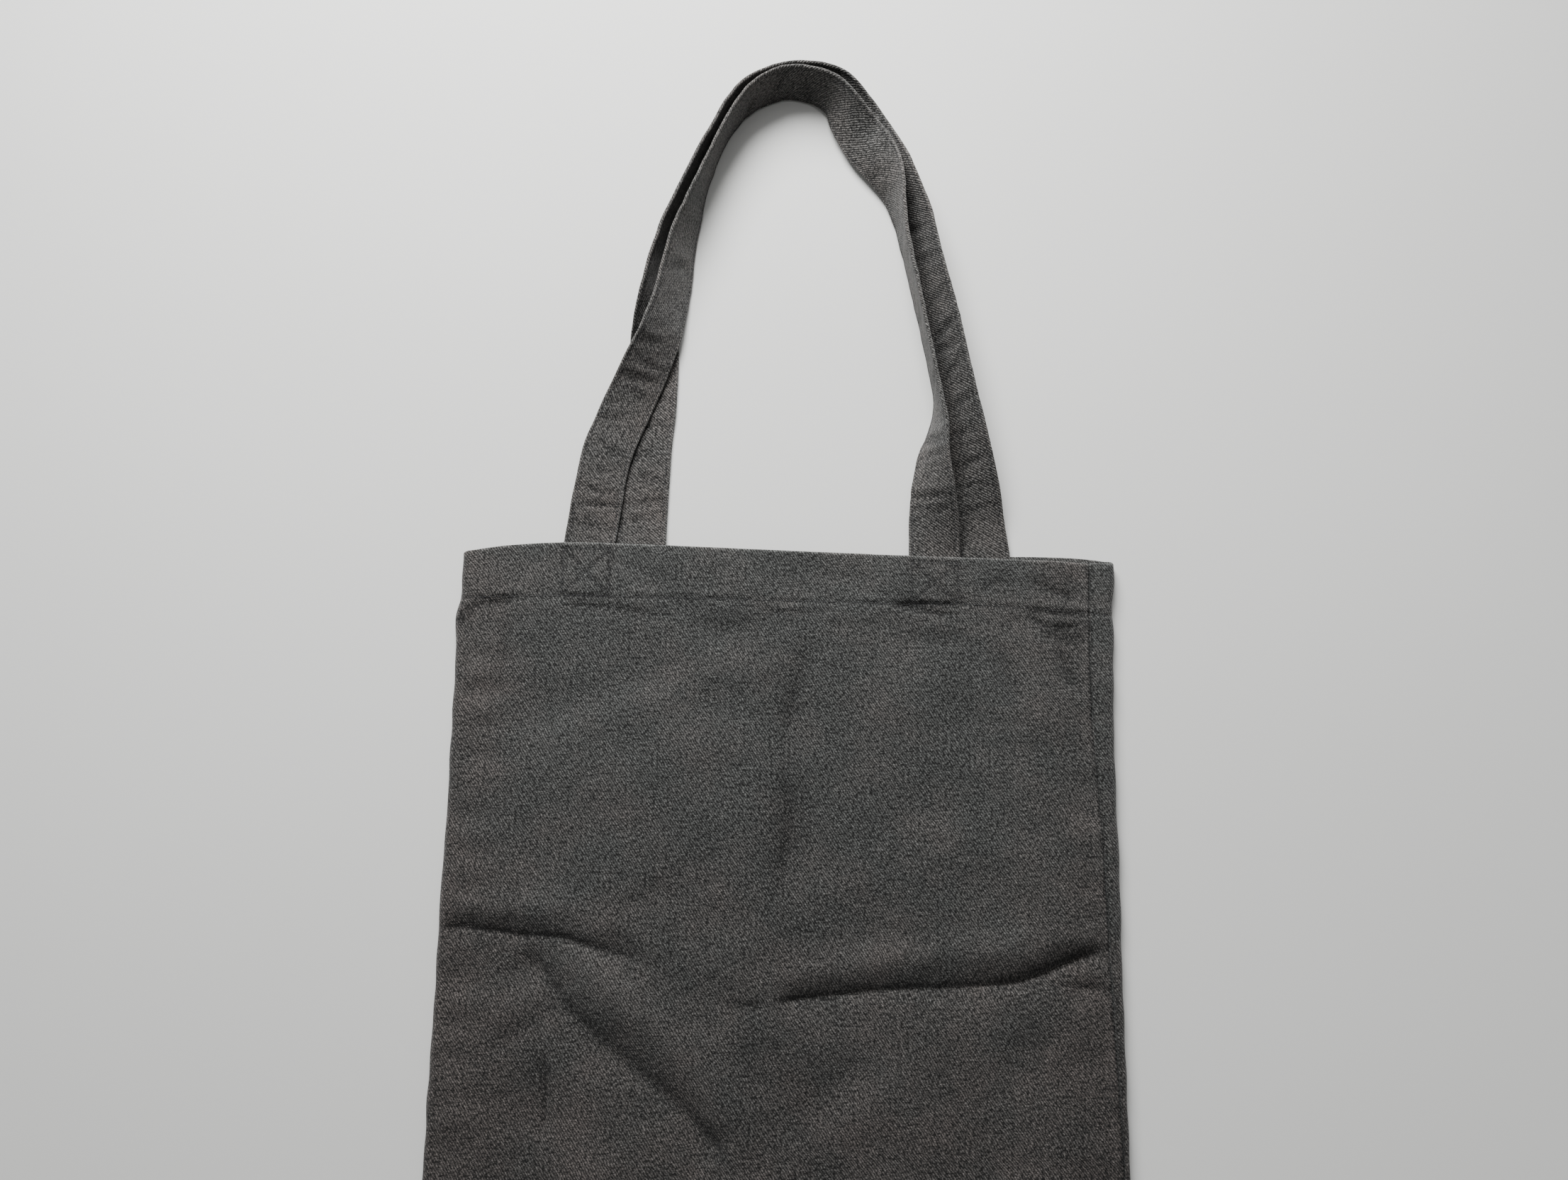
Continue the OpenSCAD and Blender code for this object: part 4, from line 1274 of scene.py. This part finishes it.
def back_inside(x, y):
    """Where it lies on the back hem, inside the bag."""
    return under_level(x, y) + HEM_GAP + CLOTH_T / 2 + 0.02


def level_of(height):
    """A level surface at one height."""
    return lambda x, y: np.full(np.shape(x), float(height))


def make_front_hem_stitches():
    """The front's hem stitching, on both faces."""
    x = np.linspace(-184, 172.5, 400)
    line = np.stack([x, through(HEM_LINE, x)], -1)
    place, along, up = join_rows([on_level(line, front_face, 1), on_level(line, front_inside, -1)])
    piece = stitches("front_hem_stitches", place, along, up)
    open_with_mouth(piece)
    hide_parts("front_hem_stitching")


def make_back_hem_stitches():
    """The back's hem stitching: on both faces under the bag, and on the strip that shows beside the
    right seam."""
    line = np.array([(-172.0, HEM_STITCH_Y), (HALF_W - 6, HEM_STITCH_Y)])
    rows = [on_level(line, under_face, -1), on_level(line, back_inside, 1)]
    seam_x = float(through(RIGHT_SEAM, HEM_STITCH_Y)) + 3.0
    strip = np.array([(seam_x, HEM_STITCH_Y - 0.5), (HALF_W - 4.5, HEM_STITCH_Y - 0.9)])
    rows.append(on_level(strip, level_of(BAG_H - 0.55), 1))
    place, along, up = join_rows(rows)
    piece = stitches("back_hem_stitches", place, along, up)
    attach(piece, "back")
    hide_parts("back_hem_stitching")


def make_box_stitches(name, x, body, node, levels):
    """A box of stitching and its cross over the strap end at x, on each of the levels."""
    rows = []
    for start, end in box_stitch_lines(x):
        line = np.linspace(start, end, 30)
        rows += [on_level(line, level, side) for level, side in levels]
    place, along, up = join_rows(rows)
    piece = stitches(name, place, along, up, length=STITCH_PITCH * 0.8)
    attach(piece, body)
    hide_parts(node)


def make_allowance_stitches(name, strip, side, node):
    """A lockstitched row near the seam and a slanting overlocked row over the raw edge of an allowance."""
    face = np.array([0, 0, side * (ALLOWANCE_T / 2 + 0.05)])
    over_face = face + np.array([0, 0, side * 0.05])
    lock, lock_along = stitched_line(strip[:, 1] + face)
    near, _ = stitched_line(strip[:, 6] + over_face, OVERLOCK_PITCH)
    far, _ = stitched_line(strip[:, 8] + over_face, OVERLOCK_PITCH)
    count = min(len(near), len(far)) - 1
    over = (near[:count] + far[1:count + 1]) / 2
    slant = far[1:count + 1] - near[:count]
    place = np.concatenate([lock, over])
    along = np.concatenate([lock_along, slant])
    piece = stitches(name, place, along, np.tile([0.0, 0.0, float(side)], (len(place), 1)))
    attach(piece, "back")
    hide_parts(node)


make_front_hem_stitches()
make_back_hem_stitches()
FRONT_LEVELS = ((front_face, 1), (level_of(5.1), -1))
BACK_LEVELS = ((under_face, -1), (level_of(4.45), 1))
for k, side_name in enumerate(("left", "right")):
    for panel, end_x, levels in (("front", FRONT_END_X, FRONT_LEVELS), ("back", BACK_END_X, BACK_LEVELS)):
        make_box_stitches(f"{panel}_box_stitches_{side_name}", end_x[k], panel,
                          f"{panel}_box_stitch_{side_name}", levels)
make_allowance_stitches("left_seam_stitches", left_strip, 1, "left_seam_stitching")
make_allowance_stitches("right_seam_stitches", right_strip, -1, "right_seam_stitching")
make_allowance_stitches("bottom_seam_stitches", bottom_strip, 1, "bottom_seam_stitching")
